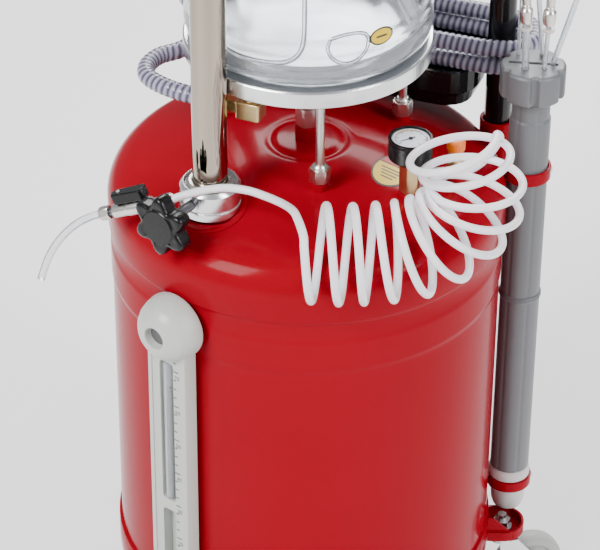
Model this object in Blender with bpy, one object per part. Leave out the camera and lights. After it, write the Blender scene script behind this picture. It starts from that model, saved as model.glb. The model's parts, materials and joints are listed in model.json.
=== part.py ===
"""Mobile waste-oil drainer: tank on casters, inspection chamber, telescopic bowl mast and probe holder.

Metres, +Z up, floor at Z = 0, front towards -Y. All heights above the tank's upper seam are
written as UPPER_SEAM + something, because most fittings stand on the upper head.
"""
from math import atan2, cos, pi, radians, sin, sqrt

import bmesh
import bpy
from mathutils import Matrix, Vector

# ---- driving dimensions -------------------------------------------------------------------
PLAN_SHIFT = Vector((0.00824, 0.03012, 0.0))  # puts the origin under the middle of the outline
UPPER_SEAM = 0.510
LOWER_SEAM = 0.126
SHELL_RADIUS = 0.200
HEAD_RADIUS = 0.203
WALL = 0.003
FLANGE = 0.026
LOWER_FLANGE = 0.030
KNUCKLE = 0.036
CROWN = 0.600
GAP = 0.0003

MAST_PLACE = Vector((-0.0829, -0.1153, 0.0))
MAST_RADIUS = 0.01725
MAST_BORE = 0.0148
MAST_FOOT = 0.200
MAST_TOP = 1.130
COLLAR_LOW = UPPER_SEAM + 0.0708
COLLAR_HIGH = UPPER_SEAM + 0.1028
KNOB_HEIGHT = UPPER_SEAM + 0.0885
KNOB_TURN = radians(-31)

BOWL_RADIUS = 0.215
BOWL_NECK_LOW = 1.2103
BOWL_RIM = 1.345

PLATE_RADIUS = 0.1235
PLATE_LOW = UPPER_SEAM + 0.193
PLATE_HIGH = UPPER_SEAM + 0.211
JAR_RADIUS = 0.1225
JAR_HIGH = UPPER_SEAM + 0.440
LID_RADIUS = 0.1238
LID_HIGH = UPPER_SEAM + 0.456
TRANSFER_LEVER_TURN = radians(-48)
STAY_PLACES = [(0.021, -0.084), (0.091, 0.059), (-0.098, 0.036)]

GAUGE_PLACE = (0.1085, -0.076)
OUTLET_HEIGHT = UPPER_SEAM + 0.0985
OUTLET_TURN = radians(8)
SAFETY_PLACE = (0.151, -0.034)

HANDLE_TURN = radians(166)
HANDLE_HALF = 0.1535
HANDLE_OUT = 0.1562
HANDLE_RADIUS = 0.014
HANDLE_FOOT = UPPER_SEAM - 0.060
SLEEVE_LOW = UPPER_SEAM - 0.085
SLEEVE_HIGH = UPPER_SEAM + 0.055

TRAY_LOW = UPPER_SEAM + 0.0815
TRAY_RIM = UPPER_SEAM + 0.125
TRAY_FRONT = 0.107
TRAY_BACK = 0.207
TRAY_HALF = 0.136

HOLDER_PLACE = Vector((0.2215, 0.042, 0.0))
HOLDER_RADIUS = 0.021
CAP_RADIUS = 0.033
CAP_LOW = UPPER_SEAM + 0.1295
CAP_HIGH = UPPER_SEAM + 0.1635

LEVEL_TURN = radians(-32.5)
LEG_TURNS = [radians(94), radians(-26), radians(-146)]
LEG_REACH = 0.218
EAR_RADIUS = 0.0245
EAR_LOW = 0.0975
EAR_FLOOR = 0.1000
WHEEL_RADIUS = 0.040
WHEEL_WIDTH = 0.020
WHEEL_TRAIL = 0.033

COIL_RADIUS = 0.048
CORD_RADIUS = 0.004
HOSE_RADIUS = 0.009


# ---- materials ----------------------------------------------------------------------------
def material(name, colour, roughness, metallic=0.0, alpha=1.0):
    made = bpy.data.materials.new(name)
    made.use_nodes = True
    shader = made.node_tree.nodes["Principled BSDF"]
    shader.inputs["Base Color"].default_value = (*colour, 1.0)
    shader.inputs["Roughness"].default_value = roughness
    shader.inputs["Metallic"].default_value = metallic
    shader.inputs["Alpha"].default_value = alpha
    return made


def make_materials():
    return {
        "red_paint": material("red_paint", (0.60, 0.012, 0.022), 0.22),
        "chrome": material("chrome", (0.80, 0.80, 0.80), 0.05, 1.0),
        "aluminium": material("aluminium", (0.72, 0.73, 0.74), 0.28, 1.0),
        "nickel": material("nickel", (0.62, 0.60, 0.56), 0.22, 1.0),
        "brass": material("brass", (0.68, 0.50, 0.22), 0.30, 1.0),
        "black_plastic": material("black_plastic", (0.012, 0.012, 0.013), 0.35),
        "black_paint": material("black_paint", (0.015, 0.015, 0.015), 0.30),
        "grey_plastic": material("grey_plastic", (0.27, 0.27, 0.28), 0.42),
        "pale_plastic": material("pale_plastic", (0.62, 0.62, 0.60), 0.40),
        "white_plastic": material("white_plastic", (0.75, 0.74, 0.72), 0.35),
        "clear_plastic": material("clear_plastic", (0.85, 0.87, 0.90), 0.05, 0.0, 0.35),
        "amber_plastic": material("amber_plastic", (0.85, 0.40, 0.02), 0.35),
        "milky_tube": material("milky_tube", (0.86, 0.87, 0.90), 0.30),
        "clear_hose": material("clear_hose", (0.70, 0.70, 0.78), 0.20, 0.0, 0.5),
        "wheel_grey": material("wheel_grey", (0.50, 0.52, 0.50), 0.60),
        "zinc": material("zinc", (0.66, 0.67, 0.68), 0.30, 1.0),
    }


# ---- modelling tools ----------------------------------------------------------------------
def mesh_object(name, bm):
    bmesh.ops.recalc_face_normals(bm, faces=bm.faces)
    mesh = bpy.data.meshes.new(name)
    bm.to_mesh(mesh)
    bm.free()
    made = bpy.data.objects.new(name, mesh)
    bpy.context.collection.objects.link(made)
    return made


def aimed(place, direction):
    turn = Vector((0, 0, 1)).rotation_difference(Vector(direction)).to_matrix().to_4x4()
    return Matrix.Translation(Vector(place)) @ turn


def turned(profile, sides, place=(0, 0, 0), direction=(0, 0, 1), phase=0.0):
    """A turned shape: profile is a loop of (radius, height); points on the axis become poles."""
    bm = bmesh.new()
    rings = []
    for radius, height in profile:
        if radius < 1e-7:
            rings.append([bm.verts.new((0, 0, height))])
            continue
        angles = [phase + 2 * pi * k / sides for k in range(sides)]
        rings.append([bm.verts.new((radius * cos(a), radius * sin(a), height)) for a in angles])
    for low, high in zip(rings, rings[1:] + rings[:1]):
        for k in range(sides):
            after = (k + 1) % sides
            if len(low) == 1 and len(high) == 1:
                break
            if len(low) == 1:
                bm.faces.new((low[0], high[after], high[k]))
            elif len(high) == 1:
                bm.faces.new((low[k], low[after], high[0]))
            else:
                bm.faces.new((low[k], low[after], high[after], high[k]))
    made = mesh_object("turned", bm)
    made.data.transform(aimed(place, direction))
    return made


def rod(radius, start, end, sides=24, phase=0.0):
    start, end = Vector(start), Vector(end)
    length = (end - start).length
    return turned([(0, 0), (radius, 0), (radius, length), (0, length)], sides, start, end - start, phase)


def ring(inner, outer, low, high, sides=32, place=(0, 0, 0), direction=(0, 0, 1)):
    return turned([(inner, low), (outer, low), (outer, high), (inner, high)], sides, place, direction)


def extruded(outline, low, high, frame=Matrix.Identity(4)):
    """A flat outline of (x, y) points raised from low to high, then moved by frame."""
    bm = bmesh.new()
    bottom = [bm.verts.new((x, y, low)) for x, y in outline]
    top = [bm.verts.new((x, y, high)) for x, y in outline]
    bm.faces.new(bottom[::-1])
    bm.faces.new(top)
    count = len(outline)
    for k in range(count):
        after = (k + 1) % count
        bm.faces.new((bottom[k], bottom[after], top[after], top[k]))
    made = mesh_object("extruded", bm)
    made.data.transform(frame)
    return made


def block(size, centre, frame=Matrix.Identity(4)):
    x, y = size[0] / 2, size[1] / 2
    outline = [(-x, -y), (x, -y), (x, y), (-x, y)]
    move = frame @ Matrix.Translation(Vector(centre))
    return extruded(outline, -size[2] / 2, size[2] / 2, move)


def rounded_box(half_x, half_y, corner, steps=5):
    """The outline of a rectangle with round corners."""
    points = []
    for quarter, (sx, sy) in enumerate([(1, 1), (-1, 1), (-1, -1), (1, -1)]):
        for k in range(steps + 1):
            a = pi / 2 * (quarter + k / steps)
            points.append((sx * (half_x - corner) + corner * cos(a), sy * (half_y - corner) + corner * sin(a)))
    return points


def lofted(outlines_at):
    """A closed shape through (outline, height) pairs, each outline with as many points."""
    bm = bmesh.new()
    loops = [[bm.verts.new((x, y, height)) for x, y in outline] for outline, height in outlines_at]
    count = len(loops[0])
    for low, high in zip(loops, loops[1:]):
        for k in range(count):
            after = (k + 1) % count
            bm.faces.new((low[k], low[after], high[after], high[k]))
    bm.faces.new(loops[0][::-1])
    bm.faces.new(loops[-1])
    return mesh_object("lofted", bm)


def combined(shapes, cutters=()):
    """One closed body: the shapes united, less the cutters."""
    base = shapes[0]
    for operation, others in (("UNION", shapes[1:]), ("DIFFERENCE", cutters)):
        for other in others:
            step = base.modifiers.new(operation.lower(), "BOOLEAN")
            step.operation = operation
            step.solver = "EXACT"
            step.object = other
    bpy.context.view_layer.update()
    evaluated = base.evaluated_get(bpy.context.evaluated_depsgraph_get())
    mesh = bpy.data.meshes.new_from_object(evaluated)
    base.modifiers.clear()
    base.data = mesh
    for other in [*shapes[1:], *cutters]:
        bpy.data.objects.remove(other)
    return base


def placed(shape, name, look, origin=(0, 0, 0)):
    """Names a shape, gives it its material and puts its origin on its joint's axis."""
    shape.name = name
    origin = Vector(origin)
    if shape.type == "MESH":
        shape.data.transform(Matrix.Translation(-origin))
        shape.data.shade_smooth()
        shape.data.set_sharp_from_angle(angle=radians(32))
    shape.location = origin + PLAN_SHIFT
    shape.data.materials.clear()
    shape.data.materials.append(look)
    return shape


def smooth_points(route, spacing):
    """Points about spacing apart on a Catmull-Rom curve through the route."""
    route = [Vector(p) for p in route]
    route = [2 * route[0] - route[1], *route, 2 * route[-1] - route[-2]]
    dense = []
    for a, b, c, d in zip(route, route[1:], route[2:], route[3:]):
        for k in range(24):
            t = k / 24
            dense.append(
                0.5 * (2 * b + (c - a) * t + (2 * a - 5 * b + 4 * c - d) * t**2 + (3 * b - 3 * c + d - a) * t**3)
            )
    dense.append(route[-2])
    total = sum((q - p).length for p, q in zip(dense, dense[1:]))
    count = max(2, round(total / spacing))
    kept, walked, target = [dense[0]], 0.0, total / count
    for p, q in zip(dense, dense[1:]):
        step = (q - p).length
        while len(kept) < count and walked + step >= target * len(kept):
            kept.append(p.lerp(q, (target * len(kept) - walked) / step))
        walked += step
    kept.append(dense[-1])
    return kept


def tube_curve(name, route, radius, spacing, detail, look):
    """A round cord or tube along a smooth route, as a curve object with closed ends."""
    points = smooth_points(route, spacing)
    data = bpy.data.curves.new(name, "CURVE")
    data.dimensions = "3D"
    data.bevel_depth = radius
    data.bevel_resolution = detail
    data.render_resolution_u = 0
    data.use_fill_caps = True
    spline = data.splines.new("POLY")
    spline.points.add(len(points) - 1)
    for point, place in zip(spline.points, points):
        point.co = (*place, 1.0)
    made = bpy.data.objects.new(name, data)
    bpy.context.collection.objects.link(made)
    return placed(made, name, look)


def axes(x, y, z, origin=Vector((0, 0, 0))):
    """The frame with these axes and this origin."""
    return Matrix([(x[k], y[k], z[k], origin[k]) for k in range(3)] + [(0, 0, 0, 1)])


def plan(turn, radius, height):
    """A point at an angle from the front, measured towards +X."""
    return Vector((radius * sin(turn), -radius * cos(turn), height))


def handle_frame():
    """Axes of the handle and tray: x to their right, y outwards, z up."""
    outward = Vector((sin(HANDLE_TURN), -cos(HANDLE_TURN), 0))
    right = Vector((-cos(HANDLE_TURN), -sin(HANDLE_TURN), 0))
    return axes(right, outward, Vector((0, 0, 1)))


# ---- tank ---------------------------------------------------------------------------------
def head_arc(radius, knuckle, crown, steps):
    """A dished head's section as (radius, height above its seam), from the flange to the axis."""
    across = radius - knuckle
    crown_centre = FLANGE - sqrt((crown - knuckle) ** 2 - across**2)
    tangent = atan2(across, FLANGE - crown_centre)
    points = [(radius, FLANGE)]
    for k in range(1, steps + 1):
        a = (pi / 2 - tangent) * k / steps
        points.append((across + knuckle * cos(a), FLANGE + knuckle * sin(a)))
    for k in range(1, steps):
        a = tangent * (1 - k / steps)
        points.append((crown * sin(a), crown_centre + crown * cos(a)))
    points.append((0, crown_centre + crown))
    return points


def dome_height(radius):
    """Height of the upper head's outside at a distance from the axis, within its crown."""
    across = HEAD_RADIUS - KNUCKLE
    crown_centre = FLANGE - sqrt((CROWN - KNUCKLE) ** 2 - across**2)
    return UPPER_SEAM + crown_centre + sqrt(CROWN**2 - radius**2)


def make_tank(looks):
    outside = head_arc(HEAD_RADIUS, KNUCKLE, CROWN, 4)
    inside = head_arc(HEAD_RADIUS - WALL, KNUCKLE - WALL, CROWN - WALL, 3)
    bead = [(SHELL_RADIUS + 0.0013, UPPER_SEAM - 0.055), (SHELL_RADIUS + 0.0013, UPPER_SEAM - 0.030)]
    drop = LOWER_SEAM + FLANGE - LOWER_FLANGE
    skin = [(r, drop - h) for r, h in reversed(outside)]
    skin += [(HEAD_RADIUS, LOWER_SEAM), (SHELL_RADIUS, LOWER_SEAM + 0.001), (SHELL_RADIUS, UPPER_SEAM - 0.064)]
    skin += bead
    skin += [(SHELL_RADIUS, UPPER_SEAM - 0.022), (SHELL_RADIUS, UPPER_SEAM - 0.001), (HEAD_RADIUS, UPPER_SEAM)]
    skin += [(r, UPPER_SEAM + h) for r, h in outside]
    hollow = [(r, drop - h) for r, h in reversed(inside)]
    hollow += [(SHELL_RADIUS - WALL, LOWER_SEAM - 0.010), (SHELL_RADIUS - WALL, UPPER_SEAM + 0.010)]
    hollow += [(r, UPPER_SEAM + h) for r, h in inside]
    body = turned(skin, 44)
    mast = MAST_PLACE
    on_dome = Vector((mast.x, mast.y, dome_height(mast.length)))
    slope = (on_dome - Vector((0, 0, dome_height(0) - CROWN))).normalized()
    welded = [
        rod(0.0125, (0, 0, dome_height(0) - 0.002), (0, 0, dome_height(0) + 0.0157), 20),
        rod(0.033, mast + Vector((0, 0, UPPER_SEAM + 0.055)), mast + Vector((0, 0, COLLAR_LOW - GAP)), 24),
        rod(0.0365, on_dome - slope * 0.010, on_dome + slope * 0.0015, 24, 0.1),
        rod(0.0105, (*GAUGE_PLACE, UPPER_SEAM + 0.068), (*GAUGE_PLACE, UPPER_SEAM + 0.0797), 20),
        rod(0.0100, (*SAFETY_PLACE, UPPER_SEAM + 0.060), (*SAFETY_PLACE, UPPER_SEAM + 0.0747), 20),
    ]
    for x, y in STAY_PLACES:
        dome = dome_height(sqrt(x * x + y * y))
        welded.append(rod(0.0085, (x, y, dome - 0.002), (x, y, dome + 0.0087), 18))
    cutters = []
    frame = handle_frame()
    for side in (-1, 1):
        low = frame @ Vector((side * HANDLE_HALF, HANDLE_OUT, SLEEVE_LOW))
        high = frame @ Vector((side * HANDLE_HALF, HANDLE_OUT, SLEEVE_HIGH))
        welded.append(rod(0.0185, low, high, 16))
        deep = Vector((0, 0, 0.01))
        cutters.append(rod(HANDLE_RADIUS + 0.0007, low + deep, high + deep, 16, 0.1))
    cutters.append(turned(hollow, 24))
    cutters.append(rod(0.0304, mast + Vector((0, 0, COLLAR_LOW - GAP)), mast + Vector((0, 0, 0.62)), 32, 0.05))
    cutters.append(rod(MAST_RADIUS + 0.0006, mast + Vector((0, 0, 0.52)), mast + Vector((0, 0, 0.62)), 24, 0.1))
    return placed(combined([body, *welded], cutters), "tank", looks["red_paint"])


def make_leg(number, turn, looks):
    """A welded ear: a dished round end that carries a caster, with two gussets up the shell."""
    frame = Matrix.Rotation(turn, 4, "Z")
    arm = []
    for k in range(17):
        a = pi + pi * k / 16
        arm.append((EAR_RADIUS * cos(a), -LEG_REACH + EAR_RADIUS * sin(a)))
    outline = [*arm, (EAR_RADIUS, -0.188), (-EAR_RADIUS, -0.188)]
    inner = [(x * 0.878, y) for x, y in arm]
    inner = [(x, -LEG_REACH + (y + LEG_REACH) * 0.878) for x, y in inner]
    inner += [(EAR_RADIUS * 0.878, -0.188 + 0.05), (-EAR_RADIUS * 0.878, -0.188 + 0.05)]
    dish = extruded(outline, EAR_LOW, 0.1090, frame)
    floor_cut = extruded(inner, EAR_FLOOR, 0.1200, frame)
    pan = combined([dish], [floor_cut])
    gussets = []
    for side, peak in ((-1, 0.127), (1, 0.1105)):
        profile = [(0.186, EAR_FLOOR - 0.001), (0.231, EAR_FLOOR - 0.001), (0.231, 0.104), (0.2075, peak), (0.186, peak)]
        stand = Matrix(((0, 0, 1, side * 0.0205), (-1, 0, 0, 0), (0, 1, 0, 0), (0, 0, 0, 1)))
        gussets.append(extruded(profile, -0.00125, 0.00125, frame @ stand))
    clearance = rod(HEAD_RADIUS + GAP, (0, 0, 0.05), (0, 0, 0.20), 96)
    bolt_hole = rod(0.0058, plan(turn, LEG_REACH, 0.09), plan(turn, LEG_REACH, 0.12), 16)
    made = combined([pan, *gussets], [clearance, bolt_hole])
    return placed(made, f"leg_{number}", looks["red_paint"])


# ---- casters ------------------------------------------------------------------------------
def make_caster(number, turn, heading, braked, looks):
    """A swivel fork with its stem bolt, and a wheel that trails behind it."""
    pivot = plan(turn, LEG_REACH, 0)
    frame = Matrix.Translation(pivot) @ Matrix.Rotation(heading, 4, "Z")
    axle = frame @ Vector((0, WHEEL_TRAIL, WHEEL_RADIUS))
    head = rod(0.0142, frame @ Vector((0, 0, 0.0850)), frame @ Vector((0, 0, EAR_LOW - GAP)), 16)
    stem = rod(0.0050, frame @ Vector((0, 0, 0.0900)), frame @ Vector((0, 0, 0.1170)), 10, 0.1)
    nut = rod(0.0098, frame @ Vector((0, 0, EAR_FLOOR + 0.0016)), frame @ Vector((0, 0, 0.1100)), 6, 0.2)
    washer = rod(0.0115, frame @ Vector((0, 0, EAR_FLOOR + GAP)), frame @ Vector((0, 0, EAR_FLOOR + 0.0018)), 16, 0.3)
    crown = block((0.0268, 0.022, 0.0024), (0, 0.005, 0.0854), frame)
    cheeks = []
    for side in (-1, 1):
        outline = [(-0.0055, 0.0860), (0.0155, 0.0860), (0.0420, 0.0520), (0.0410, 0.0330), (0.0250, 0.0330), (-0.0055, 0.0780)]
        stand = Matrix(((0, 0, 1, side * 0.01255), (1, 0, 0, 0), (0, 1, 0, 0), (0, 0, 0, 1)))
        cheeks.append(extruded(outline, -0.00075, 0.00075, frame @ stand))
    pin_from = frame @ Vector((-0.0165, WHEEL_TRAIL, WHEEL_RADIUS))
    pin_to = frame @ Vector((0.0165, WHEEL_TRAIL, WHEEL_RADIUS))
    pin = rod(0.0040, pin_from, pin_to, 10, 0.1)
    fork = combined([head, stem, nut, washer, crown, *cheeks, pin])
    placed(fork, f"caster_fork_{number}", looks["zinc"], pivot)

    across = frame.to_3x3() @ Vector((1, 0, 0))
    half = WHEEL_WIDTH / 2
    section = [
        (0.0044, -half - 0.001), (0.0115, -half - 0.001), (0.0130, -half + 0.003), (0.0295, -half),
        (WHEEL_RADIUS - 0.0015, -half), (WHEEL_RADIUS, -half + 0.0015), (WHEEL_RADIUS, half - 0.0015),
        (WHEEL_RADIUS - 0.0015, half), (0.0295, half), (0.0130, half - 0.003), (0.0115, half + 0.001),
        (0.0044, half + 0.001),
    ]
    wheel = flat_footed(section, 20, axle, across)
    placed(wheel, f"caster_wheel_{number}", looks["wheel_grey"], axle)
    if braked:
        make_brake(number, frame, looks)


def flat_footed(section, sides, axle, across):
    """A wheel whose lowest tread facet lies flat on the floor."""
    bm = bmesh.new()
    forward = Vector((0, 0, 1)).cross(across).normalized()
    rings = []
    for radius, along in section:
        reach = radius / cos(pi / sides)
        ring_points = []
        for k in range(sides):
            a = 2 * pi * (k + 0.5) / sides - pi / 2
            place = axle + across * along + forward * (reach * cos(a)) + Vector((0, 0, reach * sin(a)))
            ring_points.append(bm.verts.new(place))
        rings.append(ring_points)
    for low, high in zip(rings, rings[1:] + rings[:1]):
        for k in range(sides):
            after = (k + 1) % sides
            bm.faces.new((low[k], low[after], high[after], high[k]))
    return mesh_object("wheel", bm)


def make_brake(number, frame, looks):
    """A foot pedal hinged at the back of the fork, above the tread."""
    hinge = frame @ Vector((0, 0.0190, 0.0850))
    side = [(0.0166, 0.0866), (0.0166, 0.0836), (0.0560, 0.0830), (0.0800, 0.0720), (0.0815, 0.0745), (0.0580, 0.0865)]
    stand = Matrix(((0, 0, 1, 0), (1, 0, 0, 0), (0, 1, 0, 0), (0, 0, 0, 1)))
    pedal = extruded(side, -0.0110, 0.0110, frame @ stand)
    placed(pedal, f"brake_pedal_{number}", looks["black_plastic"], hinge)


# ---- mast, clamp and bowl -----------------------------------------------------------------
def make_mast_clamp(looks):
    low, high = COLLAR_LOW, COLLAR_HIGH
    bore = MAST_RADIUS + 0.0006
    section = [
        (bore, low), (0.0292, low), (0.0300, low + 0.0010), (0.0300, high - 0.0013), (0.0288, high),
        (0.0262, high), (0.0242, high - 0.0042), (bore, high - 0.0042),
    ]
    collar = turned(section, 26, MAST_PLACE)
    outward = Vector((sin(KNOB_TURN), -cos(KNOB_TURN), 0))
    centre = MAST_PLACE + Vector((0, 0, KNOB_HEIGHT))
    bolt_hole = rod(0.0056, centre + outward * 0.010, centre + outward * 0.040, 12, 0.1)
    placed(combined([collar], [bolt_hole]), "mast_collar", looks["aluminium"])

    bush_low = high - 0.0039
    bush = turned(
        [(MAST_RADIUS + 0.0004, bush_low), (0.0232, bush_low), (0.0232, high - 0.0010), (0.0212, high + 0.0012),
         (MAST_RADIUS + 0.0004, high + 0.0012)], 28, MAST_PLACE)
    placed(bush, "mast_bush", looks["brass"])

    stem = rod(0.0050, centre + outward * 0.0185, centre + outward * 0.0600, 12, 0.1)
    outline = []
    for k in range(36):
        a = 2 * pi * k / 36
        reach = 0.0278 + 0.0042 * cos(6 * a)
        outline.append((reach * cos(a), reach * sin(a)))
    frame = aimed(centre, outward)
    grip = extruded(outline, 0.064, 0.080, frame)
    crown = turned([(0, 0.079), (0.023, 0.079), (0.021, 0.082), (0, 0.082)], 24, centre, outward)
    hub = rod(0.0110, centre + outward * 0.0545, centre + outward * 0.066, 16, 0.2)
    placed(combined([grip, crown, hub, stem]), "clamp_knob", looks["black_plastic"], centre)


def make_mast(looks):
    tube = ring(MAST_BORE, MAST_RADIUS, MAST_FOOT, MAST_TOP, 28, MAST_PLACE)
    placed(tube, "mast_tube", looks["chrome"])
    low = MAST_TOP + GAP
    section = [
        (0, low), (0.0225, low), (0.0225, low + 0.020), (0.0190, low + 0.022), (0.0245, low + 0.030),
        (0.0245, low + 0.050), (0.0190, low + 0.058), (0.0225, low + 0.060), (0.0225, 1.2100), (0, 1.2100),
    ]
    body = turned(section, 18, MAST_PLACE)
    spindle_from = MAST_PLACE + Vector((0, 0, 1.170))
    spindle = rod(0.0085, spindle_from, spindle_from + Vector((0, -0.0310, 0)), 14, 0.1)
    placed(combined([body, spindle]), "bowl_valve_body", looks["nickel"])
    lever_outline = [*rounded_box(0.010, 0.010, 0.006, 3)]
    pivot = spindle_from + Vector((0, -0.0313, 0))
    stand = Matrix.Translation(pivot) @ Matrix.Rotation(pi / 2, 4, "X")
    boss = extruded(lever_outline, 0, 0.0035, stand)
    arm = extruded([(-0.0075, 0.004), (-0.0095, -0.105), (0.0095, -0.105), (0.0075, 0.004)], 0.0006, 0.0030, stand)
    placed(combined([boss, arm]), "bowl_valve_lever", looks["red_paint"], pivot)


def make_bowl(looks):
    low = BOWL_NECK_LOW
    wall = 0.003
    section = [
        (0.0100, low), (0.0160, low), (0.0160, 1.2330), (0.0500, 1.2480), (0.1900, 1.2880), (0.2080, 1.2990),
        (BOWL_RADIUS - 0.003, 1.3100), (BOWL_RADIUS, BOWL_RIM - 0.004), (BOWL_RADIUS + 0.006, BOWL_RIM - 0.003),
        (BOWL_RADIUS + 0.006, BOWL_RIM), (BOWL_RADIUS - wall, BOWL_RIM), (BOWL_RADIUS - wall - 0.003, 1.3120),
        (0.2060, 1.3020), (0.1890, 1.2915), (0.0490, 1.2515), (0.0100, 1.2370),
    ]
    bowl = turned(section, 24, MAST_PLACE)
    placed(bowl, "drain_bowl", looks["red_paint"], MAST_PLACE + Vector((0, 0, 1.25)))


# ---- inspection chamber -------------------------------------------------------------------
def make_chamber(looks):
    plate = turned(
        [(0, PLATE_LOW), (PLATE_RADIUS - 0.001, PLATE_LOW), (PLATE_RADIUS, PLATE_LOW + 0.001),
         (PLATE_RADIUS, PLATE_HIGH - 0.0015), (PLATE_RADIUS - 0.0015, PLATE_HIGH), (0, PLATE_HIGH)], 40)
    placed(plate, "chamber_plate", looks["aluminium"])
    base = PLATE_HIGH + GAP
    section = [
        (0.096, base), (0.107, base), (0.1150, base + 0.004), (0.1205, base + 0.011), (JAR_RADIUS, base + 0.022),
        (JAR_RADIUS, JAR_HIGH), (0.116, JAR_HIGH), (0.116, base + 0.024), (0.1125, base + 0.014), (0.105, base + 0.008),
        (0.096, base + 0.007),
    ]
    placed(turned(section, 32), "chamber_jar", looks["clear_plastic"])
    low = JAR_HIGH + GAP
    lid = turned(
        [(0, low), (LID_RADIUS - 0.001, low), (LID_RADIUS, low + 0.001), (LID_RADIUS, LID_HIGH - 0.0015),
         (LID_RADIUS - 0.0015, LID_HIGH), (0, LID_HIGH)], 40)
    placed(lid, "chamber_lid", looks["aluminium"])
    for number, (x, y) in enumerate(STAY_PLACES, 1):
        foot = dome_height(sqrt(x * x + y * y)) + 0.0087 + GAP
        nut = turned([(0, 0), (0.0092, 0), (0.0096, 0.001), (0.0096, 0.0165), (0.0085, 0.0195), (0, 0.0195)], 6, (x, y, foot))
        stay = combined([nut, rod(0.0044, (x, y, foot + 0.001), (x, y, PLATE_LOW - GAP), 14)])
        placed(stay, f"chamber_stay_{number}", looks["nickel"])


def make_transfer_valve(looks):
    """The ball valve that lets the chamber down into the tank."""
    low = dome_height(0) + 0.0157 + GAP
    hexagon = rod(0.0122, (0, 0, low), (0, 0, low + 0.0215), 6, 0.2)
    top = PLATE_LOW - GAP
    section = [(0, low + 0.020), (0.0107, low + 0.020), (0.0107, low + 0.030), (0.0145, low + 0.038),
               (0.0145, low + 0.054), (0.0107, low + 0.062), (0.0107, top), (0, top)]
    body = turned(section, 16, (0, 0, 0), (0, 0, 1), 0.1)
    middle = Vector((0, 0, low + 0.046))
    aim = plan(TRANSFER_LEVER_TURN + pi / 2, 1, 0)
    spindle = rod(0.0055, middle, middle + aim * 0.0190, 10, 0.1)
    placed(combined([hexagon, body, spindle]), "transfer_valve_body", looks["nickel"])
    pivot = middle + aim * 0.0193
    stand = axes(plan(TRANSFER_LEVER_TURN, 1, 0), Vector((0, 0, -1)), aim, pivot)
    arm = extruded([(-0.006, -0.006), (0.048, -0.005), (0.048, 0.005), (-0.006, 0.006)], 0, 0.0025, stand)
    placed(arm, "transfer_valve_lever", looks["chrome"], pivot)


def make_suction_elbow(looks):
    block_place = Vector((-0.046, -0.090, UPPER_SEAM + 0.1715))
    towards = Vector((-0.054, 0.016, 0)).normalized()
    turn = Matrix.Translation(block_place) @ Matrix.Rotation(atan2(towards.y, towards.x), 4, "Z")
    body = extruded(rounded_box(0.0125, 0.0100, 0.002, 2), -0.0095, 0.0095, turn)
    riser = rod(0.0080, block_place, block_place + Vector((0, 0, PLATE_LOW - GAP - block_place.z)), 16)
    nipple = rod(0.0065, block_place, block_place + towards * 0.0440, 16)
    nut = rod(0.0092, block_place + towards * 0.014, block_place + towards * 0.024, 6)
    placed(combined([body, riser, nipple, nut]), "suction_elbow", looks["brass"])
    ferrule = rod(0.0105, block_place + towards * 0.0443, block_place + towards * 0.0530, 20)
    placed(ferrule, "suction_ferrule", looks["brass"])


def make_lid_fittings(looks):
    """Air-driven vacuum pump group on the lid: manifold, gauge, ejector and air valve."""
    top = LID_HIGH + GAP
    manifold = block((0.050, 0.034, 0.030), (0, 0, top + 0.015))
    placed(manifold, "vacuum_manifold", looks["aluminium"])

    stem_low = top + 0.030 + GAP
    stem = rod(0.0065, (0, 0, stem_low), (0, 0, stem_low + 0.030), 6)
    middle = Vector((0, 0.010, stem_low + 0.052))
    case = turned([(0, 0), (0.0290, 0), (0.0315, 0.003), (0.0315, 0.024), (0.0340, 0.025), (0.0340, 0.029), (0.0300, 0.030),
                   (0.0290, 0.0275), (0, 0.0275)], 24, middle, (0, -1, 0))
    placed(combined([case, stem]), "vacuum_gauge", looks["black_plastic"])

    side = Vector((0.0253, 0, top + 0.015))
    x = Vector((1, 0, 0))
    barrel = turned([(0, 0), (0.0080, 0), (0.0080, 0.010), (0.0125, 0.012), (0.0125, 0.046), (0.0095, 0.048), (0.0095, 0.056),
                     (0.0130, 0.058), (0.0130, 0.086), (0.0105, 0.091), (0, 0.091)], 16, side, x)
    placed(barrel, "vacuum_ejector", looks["brass"])

    left = Vector((-0.0253, 0, top + 0.015))
    inlet = turned([(0, 0), (0.0080, 0), (0.0080, 0.008), (0.0115, 0.009), (0.0115, 0.034), (0.0070, 0.036), (0.0070, 0.044),
                    (0.0090, 0.045), (0.0090, 0.049), (0.0060, 0.051), (0.0060, 0.062), (0, 0.062)], 14, left, -x)
    spindle = rod(0.0050, left - x * 0.0215, left - x * 0.0215 + Vector((0, 0, 0.0150)), 10, 0.1)
    placed(combined([inlet, spindle]), "air_valve_body", looks["nickel"])
    pivot = left - x * 0.0215 + Vector((0, 0, 0.0153))
    arm = extruded([(-0.006, -0.006), (0.006, -0.006), (0.005, 0.050), (-0.005, 0.050)], 0, 0.003,
                   Matrix.Translation(pivot) @ Matrix.Rotation(radians(20), 4, "Z"))
    placed(arm, "air_valve_lever", looks["red_paint"], pivot)


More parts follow.
